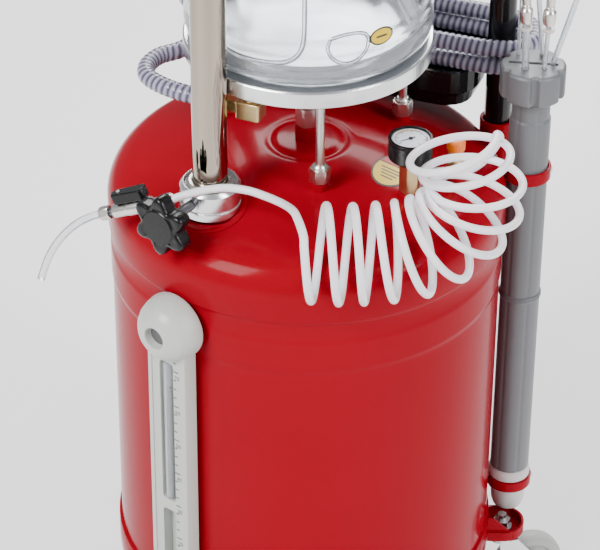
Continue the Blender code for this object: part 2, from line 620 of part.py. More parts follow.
# ---- fittings on the upper head -----------------------------------------------------------
def make_tank_gauge(looks):
    x, y = GAUGE_PLACE
    low = UPPER_SEAM + 0.0800
    hexagon = turned([(0, low + 0.004), (0.0102, low + 0.004), (0.0106, low + 0.006), (0.0106, UPPER_SEAM + 0.1165),
                      (0.0095, UPPER_SEAM + 0.1180), (0, UPPER_SEAM + 0.1180)], 6, (x, y, 0), (0, 0, 1), 0.35)
    thread = rod(0.0085, (x, y, low), (x, y, low + 0.006), 18)
    out = Vector((cos(OUTLET_TURN), sin(OUTLET_TURN), 0))
    start = Vector((x, y, OUTLET_HEIGHT))
    outlet = rod(0.0058, start, start + out * 0.0250, 12)
    nut = rod(0.0072, start + out * 0.0220, start + out * 0.0360, 6, 0.2)
    placed(combined([hexagon, thread, outlet, nut]), "gauge_stem", looks["brass"])
    base = UPPER_SEAM + 0.1183
    case = turned([(0, 0), (0.0205, 0), (0.0220, 0.0015), (0.0220, 0.0225), (0.0195, 0.0232), (0.0190, 0.0205), (0, 0.0205)],
                  28, (x, y, base))
    placed(case, "pressure_gauge", looks["black_plastic"])


def make_safety_valve(looks):
    x, y = SAFETY_PLACE
    low = UPPER_SEAM + 0.0750
    section = [(0, 0), (0.0075, 0), (0.0075, 0.004), (0.0090, 0.005), (0.0090, 0.016), (0.0075, 0.018), (0.0075, 0.026),
               (0.0052, 0.0265), (0.0052, 0.0290), (0, 0.0290)]
    placed(turned(section, 16, (x, y, low)), "safety_valve_body", looks["brass"])
    cap_low = low + 0.0290 + GAP
    cap = turned([(0, 0), (0.0088, 0), (0.0092, 0.0015), (0.0092, 0.0100), (0.0075, 0.0125), (0, 0.0125)], 20, (x, y, cap_low))
    pin = rod(0.0014, (x, y, cap_low + 0.010), (x, y, cap_low + 0.0185), 8, 0.1)
    placed(combined([cap, pin]), "safety_valve_cap", looks["amber_plastic"], (x, y, cap_low))


# ---- level gauge --------------------------------------------------------------------------
def make_level_gauge(looks):
    """A long clamped sight gauge with a round domed head, on a vertical stripe of the shell."""
    frame = Matrix.Rotation(LEVEL_TURN, 4, "Z") @ Matrix(((1, 0, 0, 0), (0, 0, -1, 0), (0, 1, 0, 0), (0, 0, 0, 1)))
    back = HEAD_RADIUS + 0.0006
    half, low, top_centre = 0.0240, UPPER_SEAM - 0.352, UPPER_SEAM - 0.030
    body_outline = rounded_box(half, (top_centre - low) / 2, 0.010, 4)
    middle = (top_centre + low) / 2
    body_outline = [(x, y + middle) for x, y in body_outline]
    body = extruded(body_outline, back, 0.2225, frame)
    head_place = frame @ Vector((0, top_centre, 0))
    outward = frame.to_3x3() @ Vector((0, 0, 1))
    head = turned([(0, back + 0.001), (0.0345, back + 0.001), (0.0350, back + 0.003), (0.0345, 0.2150), (0.0315, 0.2255), (0.0250, 0.2340),
                   (0.0175, 0.2385), (0.0118, 0.2395), (0.0118, 0.2310), (0, 0.2310)], 24, head_place, outward)
    window = extruded(rounded_box(0.0085, 0.0870, 0.0040, 3), 0.2085, 0.2300, frame @ Matrix.Translation((0, UPPER_SEAM - 0.155, 0)))
    second = extruded(rounded_box(0.0085, 0.0370, 0.0040, 3), 0.2085, 0.2300, frame @ Matrix.Translation((0, UPPER_SEAM - 0.292, 0)))
    placed(combined([body, head], [window, second]), "level_gauge_frame", looks["pale_plastic"])
    tube_low = frame @ Vector((0, UPPER_SEAM - 0.2410, 0.2165))
    tube_high = frame @ Vector((0, UPPER_SEAM - 0.0690, 0.2165))
    placed(rod(0.0060, tube_low, tube_high, 16), "level_gauge_tube", looks["clear_plastic"])


# ---- handle and tray ----------------------------------------------------------------------
def make_handle(looks):
    frame = handle_frame()
    rise = UPPER_SEAM + 0.270
    side = [(HANDLE_HALF, HANDLE_OUT, z) for z in (HANDLE_FOOT, UPPER_SEAM + 0.10, rise - 0.03, rise)]
    side += [
        (HANDLE_HALF, 0.1610, rise + 0.040), (HANDLE_HALF, 0.1780, rise + 0.085), (HANDLE_HALF, 0.2030, rise + 0.130),
        (HANDLE_HALF - 0.003, 0.2230, rise + 0.158), (HANDLE_HALF - 0.018, 0.2360, rise + 0.175),
        (HANDLE_HALF - 0.045, 0.2420, rise + 0.183), (0.060, 0.2430, rise + 0.184),
    ]
    route = side + [(-x, y, z) for x, y, z in reversed(side)]
    tube_curve("push_handle", [frame @ Vector(p) for p in route], HANDLE_RADIUS, 0.038, 2, looks["black_paint"])


def make_tray(looks):
    frame = handle_frame()
    depth = (TRAY_BACK - TRAY_FRONT) / 2
    middle = (TRAY_BACK + TRAY_FRONT) / 2
    low = lofted([
        (rounded_box(TRAY_HALF - 0.012, depth - 0.008, 0.024), TRAY_LOW),
        (rounded_box(TRAY_HALF - 0.006, depth - 0.003, 0.026), TRAY_LOW + 0.004),
        (rounded_box(TRAY_HALF - 0.004, depth - 0.002, 0.027), TRAY_LOW + 0.016),
        (rounded_box(TRAY_HALF, depth, 0.030), TRAY_LOW + 0.019),
        (rounded_box(TRAY_HALF, depth, 0.030), TRAY_RIM),
    ])
    hollow = lofted([
        (rounded_box(TRAY_HALF - 0.010, depth - 0.006, 0.022), TRAY_LOW + 0.0035),
        (rounded_box(TRAY_HALF - 0.004, depth - 0.004, 0.026), TRAY_RIM + 0.010),
    ])
    tray = combined([low], [hollow])
    tray.data.transform(frame @ Matrix.Translation((0, middle, 0)))
    placed(tray, "tool_tray", looks["black_plastic"])


# ---- probe holder -------------------------------------------------------------------------
PROBES = [
    # name, offset on the cap (x, y), radius, lean (x, y), foot depth, rise above the cap, fitting
    ("probe_wide", (-0.0080, -0.0105), 0.0037, (-0.030, 0.000), 0.400, 0.052, True),
    ("probe_narrow", (0.0110, -0.0100), 0.0024, (0.030, -0.030), 0.380, 0.052, True),
    ("probe_thin_back", (-0.0160, 0.0150), 0.0018, (0.000, 0.020), 0.028, 0.095, False),
    ("probe_straight_back", (0.0080, 0.0170), 0.0026, (-0.110, 0.030), 0.028, 0.105, False),
    ("probe_leaning", (0.0190, 0.0010), 0.0030, (0.260, 0.000), 0.110, 0.110, False),
]


def probe_line(offset, lean):
    top = HOLDER_PLACE + Vector((*offset, CAP_HIGH))
    return top, Vector((*lean, 1.0)).normalized()


def make_probe_holder(looks):
    centre = HOLDER_PLACE
    cap = turned([(0, CAP_LOW), (CAP_RADIUS - 0.002, CAP_LOW), (CAP_RADIUS, CAP_LOW + 0.002), (CAP_RADIUS, CAP_HIGH - 0.002),
                  (CAP_RADIUS - 0.002, CAP_HIGH), (0, CAP_HIGH)], 24, centre)
    cutters = []
    for k in range(6):
        a = radians(60 * k - 85)
        groove = centre + Vector((0.0352 * cos(a), 0.0352 * sin(a), 0))
        cutters.append(rod(0.0052, groove + Vector((0, 0, CAP_LOW + 0.003)), groove + Vector((0, 0, CAP_HIGH + 0.002)), 8, 0.1))
    for _, offset, radius, lean, depth, _, _ in PROBES:
        top, aim = probe_line(offset, lean)
        deep = min(depth, 0.045)
        cutters.append(rod(radius + 0.0006, top - aim * (deep + 0.001), top + aim * 0.01, 8, 0.1))
    slot = block((0.050, 0.0036, 0.016), (*centre.xy, CAP_HIGH))
    cutters.append(slot)
    well = rod(0.0172, centre + Vector((0, 0, CAP_LOW - 0.01)), centre + Vector((0, 0, CAP_LOW + 0.004)), 18, 0.1)
    cutters.append(well)
    placed(combined([cap], cutters), "probe_holder_cap", looks["grey_plastic"])

    top = CAP_LOW - GAP
    low = UPPER_SEAM - 0.3530
    joint = UPPER_SEAM - 0.112
    section = [
        (0.0178, top), (0.0195, top), (0.0195, UPPER_SEAM + 0.104), (HOLDER_RADIUS, UPPER_SEAM + 0.100),
        (HOLDER_RADIUS, joint + 0.004), (0.0224, joint + 0.002), (0.0224, joint - 0.002), (HOLDER_RADIUS, joint - 0.004),
        (HOLDER_RADIUS, low + 0.012), (0.0225, low + 0.007), (0.0225, low), (0.0178, low),
    ]
    placed(turned(section, 20, centre), "probe_holder_tube", looks["grey_plastic"])

    drip = UPPER_SEAM - 0.3660
    cup = turned([(0, drip - 0.0320), (0.0135, drip - 0.0312), (0.0172, drip - 0.0260), (0.0186, drip - 0.0150), (0.0190, drip),
                  (0.0176, drip), (0.0172, drip - 0.0150), (0.0158, drip - 0.0240), (0.0125, drip - 0.0290), (0, drip - 0.0300)],
                 20, centre)
    placed(cup, "drip_cup", looks["white_plastic"])
    make_strap("upper_strap", UPPER_SEAM + 0.0320, UPPER_SEAM + 0.0455, HOLDER_RADIUS + 0.0004, looks)
    make_strap("lower_strap", UPPER_SEAM - 0.3655, UPPER_SEAM - 0.3535, 0.0205, looks)


def make_strap(name, low, high, bore, looks):
    """A welded steel ring that holds the probe tube, with an arm back to the shell."""
    centre = HOLDER_PLACE
    outer = rod(0.0243, centre + Vector((0, 0, low)), centre + Vector((0, 0, high)), 20, 0.1)
    inward = -centre.normalized()
    heading = atan2(inward.y, inward.x)
    reach = Matrix.Translation(centre) @ Matrix.Rotation(heading, 4, "Z")
    arm = block((0.0180, 0.0300, high - low - 0.002), (0.0250, 0, (low + high) / 2), reach)
    through = rod(bore, centre + Vector((0, 0, low - 0.01)), centre + Vector((0, 0, high + 0.01)), 20)
    shell = rod(HEAD_RADIUS + GAP, (0, 0, low - 0.02), (0, 0, high + 0.02), 96)
    placed(combined([outer, arm], [through, shell]), name, looks["red_paint"])


def make_probes(looks):
    for name, offset, radius, lean, depth, rise, fitted in PROBES:
        top, aim = probe_line(offset, lean)
        stick = rod(radius, top - aim * depth, top + aim * rise, 10, 0.1)
        if not fitted:
            placed(stick, name, looks["clear_plastic"], top)
            continue
        section = [(0, rise - 0.008), (0.0064, rise - 0.008), (0.0068, rise - 0.004), (0.0058, rise - 0.0035),
                   (0.0066, rise + 0.004), (0.0066, rise + 0.014), (0.0045, rise + 0.017), (0.0045, rise + 0.030), (0, rise + 0.030)]
        fitting = turned(section, 12, top, aim)
        placed(combined([stick, fitting]), name, looks["clear_plastic"], top)


# ---- cords --------------------------------------------------------------------------------
COIL_ROUTE = [
    (0.0180, -0.2200, 0.6050), (0.0630, -0.2150, 0.6040), (0.1060, -0.2000, 0.6010), (0.1360, -0.1800, 0.6015),
    (0.1530, -0.1640, 0.6030), (0.1660, -0.1440, 0.6070), (0.1735, -0.1240, 0.6110), (0.1760, -0.1080, 0.6140),
]
RUN_ROUTE = [
    (0.0125, -0.2330, 0.5660), (0.0100, -0.2260, 0.5770), (0.0075, -0.2080, 0.5950), (0.0030, -0.1850, 0.6120),
    (-0.0050, -0.1600, 0.6190), (-0.0200, -0.1450, 0.6200), (-0.0420, -0.1380, 0.6190), (-0.0640, -0.1370, 0.6190),
    (-0.0850, -0.1440, 0.6182), (-0.1000, -0.1490, 0.6152), (-0.1080, -0.1492, 0.6118), (-0.1144, -0.1478, 0.6089),
]
LEAD_ROUTE = [
    (0.1455, -0.0708, 0.6085), (0.1510, -0.0700, 0.6087), (0.1590, -0.0720, 0.6130), (0.1670, -0.0770, 0.6220),
    (0.1740, -0.0850, 0.6350), (0.1790, -0.0950, 0.6460), (0.1800, -0.1060, 0.6535),
]
VALVE_FROM = Vector((-0.1155, -0.1476, 0.6084))
VALVE_TO = Vector((-0.1890, -0.1310, 0.5750))
TAIL_ROUTE = [
    (-0.1893, -0.1309, 0.5748), (-0.1980, -0.1290, 0.5705), (-0.2120, -0.1275, 0.5610), (-0.2250, -0.1265, 0.5480),
    (-0.2370, -0.1260, 0.5310), (-0.2460, -0.1260, 0.5120), (-0.2530, -0.1260, 0.4900),
]
HOSE_ROUTE = [
    # x to the handle's right, y outwards from the tank's axis, z up, in the handle's axes
    (-0.0774, -0.0961, 0.6815), (-0.0950, -0.0950, 0.6815), (-0.1180, -0.0890, 0.6810), (-0.1400, -0.0760, 0.6800),
    (-0.1490, -0.0550, 0.6790), (-0.1460, -0.0320, 0.6780), (-0.1330, -0.0130, 0.6770), (-0.1250, 0.0100, 0.6760),
    (-0.1270, 0.0400, 0.6740), (-0.1400, 0.0750, 0.6710), (-0.1620, 0.1050, 0.6680), (-0.1850, 0.1330, 0.6650),
    (-0.1900, 0.1580, 0.6645), (-0.1800, 0.1810, 0.6645), (-0.1500, 0.1930, 0.6645), (-0.1000, 0.1950, 0.6640),
    (0.0000, 0.1950, 0.6630), (0.1000, 0.1950, 0.6640), (0.1480, 0.1930, 0.6645), (0.1780, 0.1810, 0.6645),
    (0.1880, 0.1560, 0.6645), (0.1780, 0.1330, 0.6645), (0.1500, 0.1230, 0.6645), (0.1000, 0.1215, 0.6645),
    (0.0000, 0.1215, 0.6635), (-0.1000, 0.1215, 0.6645), (-0.1500, 0.1220, 0.6590), (-0.1800, 0.1310, 0.6500),
    (-0.1900, 0.1550, 0.6450), (-0.1800, 0.1800, 0.6447), (-0.1500, 0.1920, 0.6447), (-0.1000, 0.1950, 0.6447),
    (0.0000, 0.1950, 0.6447), (0.1000, 0.1950, 0.6447), (0.1480, 0.1930, 0.6447), (0.1780, 0.1810, 0.6447),
    (0.1880, 0.1560, 0.6447), (0.1780, 0.1330, 0.6447), (0.1500, 0.1220, 0.6447), (0.1150, 0.1230, 0.6440),
    (0.0850, 0.1300, 0.6390), (0.0550, 0.1450, 0.6270), (0.0250, 0.1570, 0.6140), (-0.0050, 0.1590, 0.6100),
    (-0.0250, 0.1590, 0.6100),
]


def make_cords(looks):
    tube_curve("coil_turns", COIL_ROUTE, COIL_RADIUS, 0.020, 4, looks["milky_tube"])
    tube_curve("coil_run", RUN_ROUTE, CORD_RADIUS, 0.011, 2, looks["milky_tube"])
    tube_curve("coil_lead", LEAD_ROUTE, CORD_RADIUS, 0.009, 2, looks["milky_tube"])
    tube_curve("bleed_tail", TAIL_ROUTE, CORD_RADIUS, 0.010, 2, looks["clear_plastic"])
    frame = handle_frame()
    tube_curve("suction_hose", [frame @ Vector(p) for p in HOSE_ROUTE], HOSE_RADIUS, 0.034, 2, looks["clear_hose"])
    start = frame @ Vector(HOSE_ROUTE[-1])
    aim = (start - frame @ Vector(HOSE_ROUTE[-2])).normalized()
    coupling = turned([(0, 0.001), (0.0105, 0.001), (0.0105, 0.010), (0.0130, 0.011), (0.0130, 0.030), (0.0090, 0.032), (0.0090, 0.055),
                       (0, 0.055)], 20, start, aim)
    placed(coupling, "hose_coupling", looks["nickel"])


def make_bleed_valve(looks):
    """The small ball valve on the end of the coiled tube, with its lever on top."""
    aim = (VALVE_TO - VALVE_FROM).normalized()
    length = (VALVE_TO - VALVE_FROM).length
    up = (Vector((0, 0, 1)) - aim * aim.z).normalized()
    section = [(0, 0), (0.0060, 0), (0.0068, 0.002), (0.0068, 0.010), (0.0055, 0.012), (0.0055, 0.022), (0.0078, 0.026),
               (0.0078, 0.060), (0.0062, 0.062), (0.0062, 0.064), (0.0078, 0.066), (0.0078, length - 0.004),
               (0.0060, length - GAP), (0, length - GAP)]
    body = turned(section, 12, VALVE_FROM, aim)
    middle = VALVE_FROM + aim * 0.043
    spindle = rod(0.0045, middle, middle + up * 0.0110, 10, 0.1)
    placed(combined([body, spindle]), "bleed_valve_body", looks["nickel"])
    pivot = middle + up * 0.0113
    stand = axes(aim, up.cross(aim), up, pivot)
    arm = extruded([(0.017, -0.0065), (0.020, 0.0000), (0.017, 0.0065), (-0.017, 0.0085), (-0.020, 0.0060), (-0.020, -0.0060),
                    (-0.017, -0.0085)], 0, 0.0085, stand)
    placed(arm, "bleed_valve_lever", looks["black_plastic"], pivot)


def main():
    for old in list(bpy.data.objects):
        bpy.data.objects.remove(old)
    looks = make_materials()
    make_tank(looks)
    for number, turn in enumerate(LEG_TURNS, 1):
        make_leg(number, turn, looks)
    headings = [radians(-65.5), radians(171), radians(64)]
    for number, (turn, heading) in enumerate(zip(LEG_TURNS, headings), 1):
        make_caster(number, turn, heading, number > 1, looks)
    make_mast_clamp(looks)
    make_mast(looks)
    make_bowl(looks)
    make_chamber(looks)
    make_transfer_valve(looks)
    make_suction_elbow(looks)
    make_lid_fittings(looks)
    make_tank_gauge(looks)
    make_safety_valve(looks)
    make_level_gauge(looks)
    make_handle(looks)
    make_tray(looks)
    make_probe_holder(looks)
    make_probes(looks)
    make_cords(looks)
    make_bleed_valve(looks)


main()
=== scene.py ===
"""The looks of a mobile waste-oil drainer: red tank, clear inspection chamber, mast, hoses and fittings."""
import json
from math import atan2, cos, exp, hypot, pi, radians, sin, sqrt

import bmesh
import bpy
from mathutils import Matrix, Vector


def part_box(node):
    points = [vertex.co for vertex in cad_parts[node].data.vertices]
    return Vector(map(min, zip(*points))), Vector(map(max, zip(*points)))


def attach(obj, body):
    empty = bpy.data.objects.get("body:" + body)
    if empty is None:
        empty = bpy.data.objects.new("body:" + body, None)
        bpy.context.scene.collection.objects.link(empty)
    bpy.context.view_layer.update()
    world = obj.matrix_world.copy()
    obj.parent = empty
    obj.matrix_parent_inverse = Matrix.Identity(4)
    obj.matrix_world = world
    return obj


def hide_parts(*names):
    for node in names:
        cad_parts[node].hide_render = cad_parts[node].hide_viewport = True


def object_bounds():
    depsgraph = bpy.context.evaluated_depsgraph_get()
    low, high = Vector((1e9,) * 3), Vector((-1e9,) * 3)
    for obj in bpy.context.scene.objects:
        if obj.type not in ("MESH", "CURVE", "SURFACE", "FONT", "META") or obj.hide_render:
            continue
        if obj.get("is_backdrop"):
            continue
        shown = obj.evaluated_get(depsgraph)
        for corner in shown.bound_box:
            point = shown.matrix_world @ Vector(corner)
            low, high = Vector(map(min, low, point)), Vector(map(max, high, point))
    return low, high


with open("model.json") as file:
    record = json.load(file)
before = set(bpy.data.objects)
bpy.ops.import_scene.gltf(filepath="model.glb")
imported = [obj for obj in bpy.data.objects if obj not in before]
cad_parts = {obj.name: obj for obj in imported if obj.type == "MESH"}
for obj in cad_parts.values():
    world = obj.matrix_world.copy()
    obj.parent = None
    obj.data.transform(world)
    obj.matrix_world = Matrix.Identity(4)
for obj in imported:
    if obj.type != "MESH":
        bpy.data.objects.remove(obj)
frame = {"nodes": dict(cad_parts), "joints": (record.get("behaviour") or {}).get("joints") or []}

cad_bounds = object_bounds()


def middle(node):
    """The vertical line through the middle of a CAD node, as its point on the floor."""
    low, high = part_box(node)
    return Vector((*((Vector(low) + Vector(high)) / 2).xy, 0.0))


# ---- places, from the frame ---------------------------------------------------------------
AXIS = middle("chamber_plate")
MAST = middle("mast_tube")
HOLDER = middle("probe_holder_cap")
GAUGE = middle("pressure_gauge")
SAFETY = middle("safety_valve_body")
SEAM = 0.510
LOWER_SEAM = 0.126
HEAD_RADIUS = 0.203
SHELL_RADIUS = 0.200
RIGHTWARD = Vector((1, 0, 0))
FORWARD = Vector((0, -1, 0))
UP = Vector((0, 0, 1))
IN_PLACE = Matrix.Identity(4)
HANDLE_TURN = radians(166)
HANDLE_HALF = 0.1535
HANDLE_OUT = 0.1562
LEVEL_TURN = radians(-32.5)
KNOB_TURN = radians(-31)
TRANSFER_TURN = radians(-48)


def at(x, y, z):
    """A point given from the tank's axis, z above the upper seam."""
    return AXIS + Vector((x, y, SEAM + z))


def plan(turn, radius, height):
    """A point at an angle from the front, measured towards +X, height above the floor."""
    return AXIS + Vector((radius * sin(turn), -radius * cos(turn), height))


def above(place, height):
    """A point above a place on the floor, height counted from the upper seam."""
    return place + Vector((0, 0, SEAM + height))


def facing(turn):
    """The level direction at an angle from the front, measured towards +X."""
    return Vector((sin(turn), -cos(turn), 0))


def axes(x, y, z, origin):
    """The frame with these three directions at an origin."""
    return Matrix([(x[k], y[k], z[k], origin[k]) for k in range(3)] + [(0, 0, 0, 1)])


def aimed(place, direction):
    """The frame at a place whose own vertical points in a direction."""
    turn = UP.rotation_difference(Vector(direction)).to_matrix().to_4x4()
    return Matrix.Translation(Vector(place)) @ turn


HANDLE_FRAME = axes(Vector((-cos(HANDLE_TURN), -sin(HANDLE_TURN), 0)), facing(HANDLE_TURN), UP, AXIS)


# ---- camera -------------------------------------------------------------------------------
camera = bpy.data.objects.new("camera", bpy.data.cameras.new("camera"))
bpy.context.collection.objects.link(camera)
camera.data.sensor_width = 36
camera.data.lens = 168.0
camera.data.clip_end = 50
VIEW_TURN = Matrix.Rotation(radians(6), 4, "Z")
view_right = VIEW_TURN @ Vector((0.99997, 0.00425, 0.00618))
view_up = VIEW_TURN @ Vector((-0.00750, 0.56639, 0.82410))
view_back = VIEW_TURN @ Vector((0.0, -0.82413, 0.56641))
view_from = at(0, 0, 0) + VIEW_TURN @ Vector((-0.0065, -2.39986, 1.56768))
camera.matrix_world = axes(view_right, view_up, view_back, view_from)
bpy.context.scene.camera = camera


# ---- materials ----------------------------------------------------------------------------
def add_node(made, kind, **values):
    """A new shader node with some of its inputs set."""
    added = made.node_tree.nodes.new("ShaderNode" + kind)
    for key, value in values.items():
        added.inputs[key.replace("_", " ")].default_value = value
    return added


def add_bump(made, source, strength, distance):
    """Raises the surface by a texture; a later call takes the place of an earlier one."""
    shader = made.node_tree.nodes["Principled BSDF"]
    for link in shader.inputs["Normal"].links:
        made.node_tree.nodes.remove(link.from_node)
    relief = add_node(made, "Bump", Strength=strength, Distance=distance)
    made.node_tree.links.new(source.outputs["Fac"], relief.inputs["Height"])
    made.node_tree.links.new(relief.outputs["Normal"], shader.inputs["Normal"])


def look(name, colour, roughness, metallic=0.0, mottle=0.06, scale=60.0, bump=0.05, grain=400.0, **extra):
    """A procedural finish: mottled colour, uneven roughness and a fine bump."""
    made = bpy.data.materials.new(name + "_finish")
    made.use_nodes = True
    link = made.node_tree.links.new
    shader = made.node_tree.nodes["Principled BSDF"]
    where = add_node(made, "TexCoord").outputs["Object"]
    broad = add_node(made, "TexNoise", Scale=scale, Detail=5)
    link(where, broad.inputs["Vector"])
    tint = add_node(made, "Mix")
    tint.data_type = "RGBA"
    tint.inputs[6].default_value = (*[c * (1 - mottle) for c in colour], 1)
    tint.inputs[7].default_value = (*[min(1, c * (1 + mottle)) for c in colour], 1)
    link(broad.outputs["Fac"], tint.inputs[0])
    link(tint.outputs[2], shader.inputs["Base Color"])
    span = add_node(made, "MapRange", To_Min=roughness * 0.85, To_Max=min(1, roughness * 1.2))
    link(broad.outputs["Fac"], span.inputs["Value"])
    link(span.outputs["Result"], shader.inputs["Roughness"])
    fine = add_node(made, "TexNoise", Scale=grain, Detail=4)
    link(where, fine.inputs["Vector"])
    add_bump(made, fine, bump, 0.0005)
    for key, value in {"Metallic": metallic, **extra}.items():
        shader.inputs[key.replace("_", " ")].default_value = value
    return made


def lathed(name, colour, roughness, spacing=0.0007, strength=0.18):
    """Turned metal: fine rings about the vertical axis through each piece's middle."""
    made = look(name, colour, roughness, 1.0, 0.05, 45, 0.05, 500)
    where = next(n for n in made.node_tree.nodes if n.type == "TEX_COORD")
    rings = add_node(made, "TexWave", Scale=0.314 / spacing / 2, Distortion=0.6, Detail=2)
    rings.wave_type = "RINGS"
    rings.rings_direction = "Z"
    made.node_tree.links.new(where.outputs["Object"], rings.inputs["Vector"])
    add_bump(made, rings, strength, 0.0002)
    return made


RED = look("red_paint", (0.27, 0.0, 0.0080), 0.17, 0, 0.06, 7, 0.03, 260, Specular_IOR_Level=0.04,
           Coat_Weight=0.04, Coat_Roughness=0.04)
# Chrome's base colour is dark and brownish: painted reflection of dark surroundings, giving the mast and lever their
# dark bands.
DARK_REFLECTION_CHROME = look("chrome", (0.36, 0.31, 0.25), 0.05, 1.0, 0.03, 18, 0.01, 300)
ALUMINIUM = lathed("aluminium", (0.78, 0.79, 0.80), 0.24)
NICKEL = look("nickel", (0.66, 0.64, 0.60), 0.28, 1.0, 0.10, 90, 0.04, 500)
BRASS = look("brass", (0.58, 0.44, 0.22), 0.30, 1.0, 0.14, 120, 0.05, 500)
BLACK = look("black_plastic", (0.004, 0.004, 0.0045), 0.26, 0, 0.25, 80, 0.10, 900,
             Specular_IOR_Level=0.28)
BLACK_PAINT = look("black_paint", (0.004, 0.004, 0.0045), 0.20, 0, 0.2, 50, 0.05, 500,
                   Specular_IOR_Level=0.3, Coat_Weight=0.1)
GREY = look("grey_plastic", (0.115, 0.118, 0.125), 0.38, 0, 0.07, 40, 0.08, 700)
PALE = look("pale_plastic", (0.47, 0.49, 0.45), 0.36, 0, 0.03, 30, 0.05, 600)
WHITE = look("white_plastic", (0.55, 0.52, 0.51), 0.32, 0, 0.04, 40, 0.04, 500,
             Subsurface_Weight=0.3, Subsurface_Scale=0.01)
MILK = look("milky_tube", (0.83, 0.82, 0.86), 0.30, 0, 0.03, 60, 0.03, 600,
            Subsurface_Weight=0.35, Subsurface_Scale=0.006)
AMBER = look("amber_plastic", (0.72, 0.15, 0.0), 0.42, 0, 0.06, 90, 0.05, 700)
WHEEL = look("wheel_grey", (0.34, 0.36, 0.34), 0.55, 0, 0.06, 60, 0.15, 500)
ZINC = look("zinc", (0.62, 0.63, 0.64), 0.26, 1.0, 0.10, 70, 0.06, 500)
STEEL_DARK = look("dark_steel", (0.16, 0.16, 0.17), 0.35, 1.0, 0.15, 80, 0.08, 500)
DIAL = look("dial_white", (0.74, 0.77, 0.82), 0.40, 0, 0.02, 40, 0.02, 500)
INK = look("ink_black", (0.012, 0.012, 0.014), 0.45, 0, 0.2, 90, 0.04, 600)
MARK_RED = look("mark_red", (0.42, 0.004, 0.006), 0.40, 0, 0.05, 90, 0.03, 600)
MARK_YELLOW = look("mark_yellow", (0.74, 0.50, 0.0), 0.40, 0, 0.05, 90, 0.03, 600)
MARK_GREY = look("mark_grey", (0.085, 0.085, 0.085), 0.45, 0, 0.05, 90, 0.03, 600)
CLEAR = look("clear_plastic", (0.78, 0.80, 0.82), 0.05, 0, 0.01, 20, 0.02, 90,
             Transmission_Weight=0.96, IOR=1.45)
CLEAR_TUBE = look("clear_tube", (0.86, 0.89, 0.92), 0.08, 0, 0.02, 40, 0.02, 300,
                  Transmission_Weight=0.8, IOR=1.40)
LEVEL_OIL = look("level_dark", (0.10, 0.055, 0.06), 0.20, 0, 0.2, 40, 0.02, 300,
                 Transmission_Weight=0.3)


def hose_look():
    """Clear hose with a spiral of pale and dark violet bands: pale on the ridges where the wire runs, dark violet in
    the grooves between as painted shade.
    """
    made = look("clear_hose", (0.55, 0.54, 0.64), 0.16, 0, 0.05, 60, 0.02, 300,
                Transmission_Weight=0.25, IOR=1.4)
    band = add_node(made, "Attribute")
    band.attribute_name = "wire"
    groove_shade_ramp = add_node(made, "ValToRGB")
    # dark violet for the grooves, painted shade; pale for the ridges
    groove_shade_ramp.color_ramp.elements[0].color = (0.07, 0.06, 0.13, 1)
    groove_shade_ramp.color_ramp.elements[1].color = (0.46, 0.45, 0.54, 1)
    groove_shade_ramp.color_ramp.elements[1].position = 0.75
    made.node_tree.links.new(band.outputs["Fac"], groove_shade_ramp.inputs["Fac"])
    shader = made.node_tree.nodes["Principled BSDF"]
    made.node_tree.links.new(groove_shade_ramp.outputs["Color"], shader.inputs["Base Color"])
    return made


HOSE = hose_look()


# ---- modelling tools ----------------------------------------------------------------------
def mm(*points):
    """Points given in millimetres, in metres."""
    return [tuple(value / 1000 for value in point) for point in points]


def ring(bore, radius, low, high):
    """The profile of a plain ring, in millimetres."""
    return mm((bore, low), (radius, low), (radius, high), (bore, high))


def rod(radius, low, high):
    """The profile of a plain rod, in millimetres."""
    return ring(0, radius, low, high)


def circle(count, phase=0.0):
    return [phase + 2 * pi * k / count for k in range(count)]


def stand_for(piece, slot, *nodes):
    """The piece is shown in place of these CAD nodes; slot is not used."""
    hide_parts(*nodes)
    return piece


def put(name, data, body="frame", place=IN_PLACE):
    """A new object that rides on a body."""
    piece = bpy.data.objects.new(name, data)
    bpy.context.collection.objects.link(piece)
    piece.matrix_world = place
    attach(piece, body)
    return piece


def add_bevel(piece, width, segments, angle):
    step = piece.modifiers.new("bevel", "BEVEL")
    step.width = width
    step.segments = segments
    step.limit_method = "ANGLE"
    step.angle_limit = radians(angle)


def skin(bm, loops, around=False):
    """Faces between neighbouring loops of vertices; a loop of one vertex is a pole."""
    for low, high in zip(loops, loops[1:] + (loops[:1] if around else [])):
        count = max(len(low), len(high))
        for k in range(count if count > 1 else 0):
            after = (k + 1) % count
            if len(low) == 1:
                bm.faces.new((low[0], high[after], high[k]))
            elif len(high) == 1:
                bm.faces.new((low[k], low[after], high[0]))
            else:
                bm.faces.new((low[k], low[after], high[after], high[k]))


def close(bm, loops):
    bm.faces.new(loops[0][::-1])
    bm.faces.new(loops[-1])


def finish(bm, name, material, place=IN_PLACE, body="frame", angle=35, bevel=0.0):
    """Turns a bmesh into a piece: placed, shaded, optionally bevelled, riding on its body."""
    bmesh.ops.recalc_face_normals(bm, faces=bm.faces)
    mesh = bpy.data.meshes.new(name)
    bm.to_mesh(mesh)
    bm.free()
    mesh.transform(place)
    mesh.shade_smooth()
    mesh.set_sharp_from_angle(angle=radians(angle))
    mesh.materials.append(material)
    piece = put(name, mesh, body)
    if bevel:
        add_bevel(piece, bevel, 3, 30)
    return piece


def softened(profile, radius=0.0006):
    """A turned profile with its corners off the axis rounded."""
    made = []
    for k, (r, z) in enumerate(profile):
        here = Vector((r, z))
        a = Vector(profile[k - 1]) - here
        b = Vector(profile[(k + 1) % len(profile)]) - here
        if r < 1e-6 or a.length < 1e-9 or b.length < 1e-9 or abs(a.angle(b) - pi) < 0.25:
            made.append((r, z))
            continue
        cut = min(radius, a.length * 0.4, b.length * 0.4)
        start, end = here + a.normalized() * cut, here + b.normalized() * cut
        for t in (0, 0.25, 0.5, 0.75, 1):
            p = start * (1 - t) ** 2 + here * 2 * t * (1 - t) + end * t * t
            made.append((p.x, p.y))
    return made


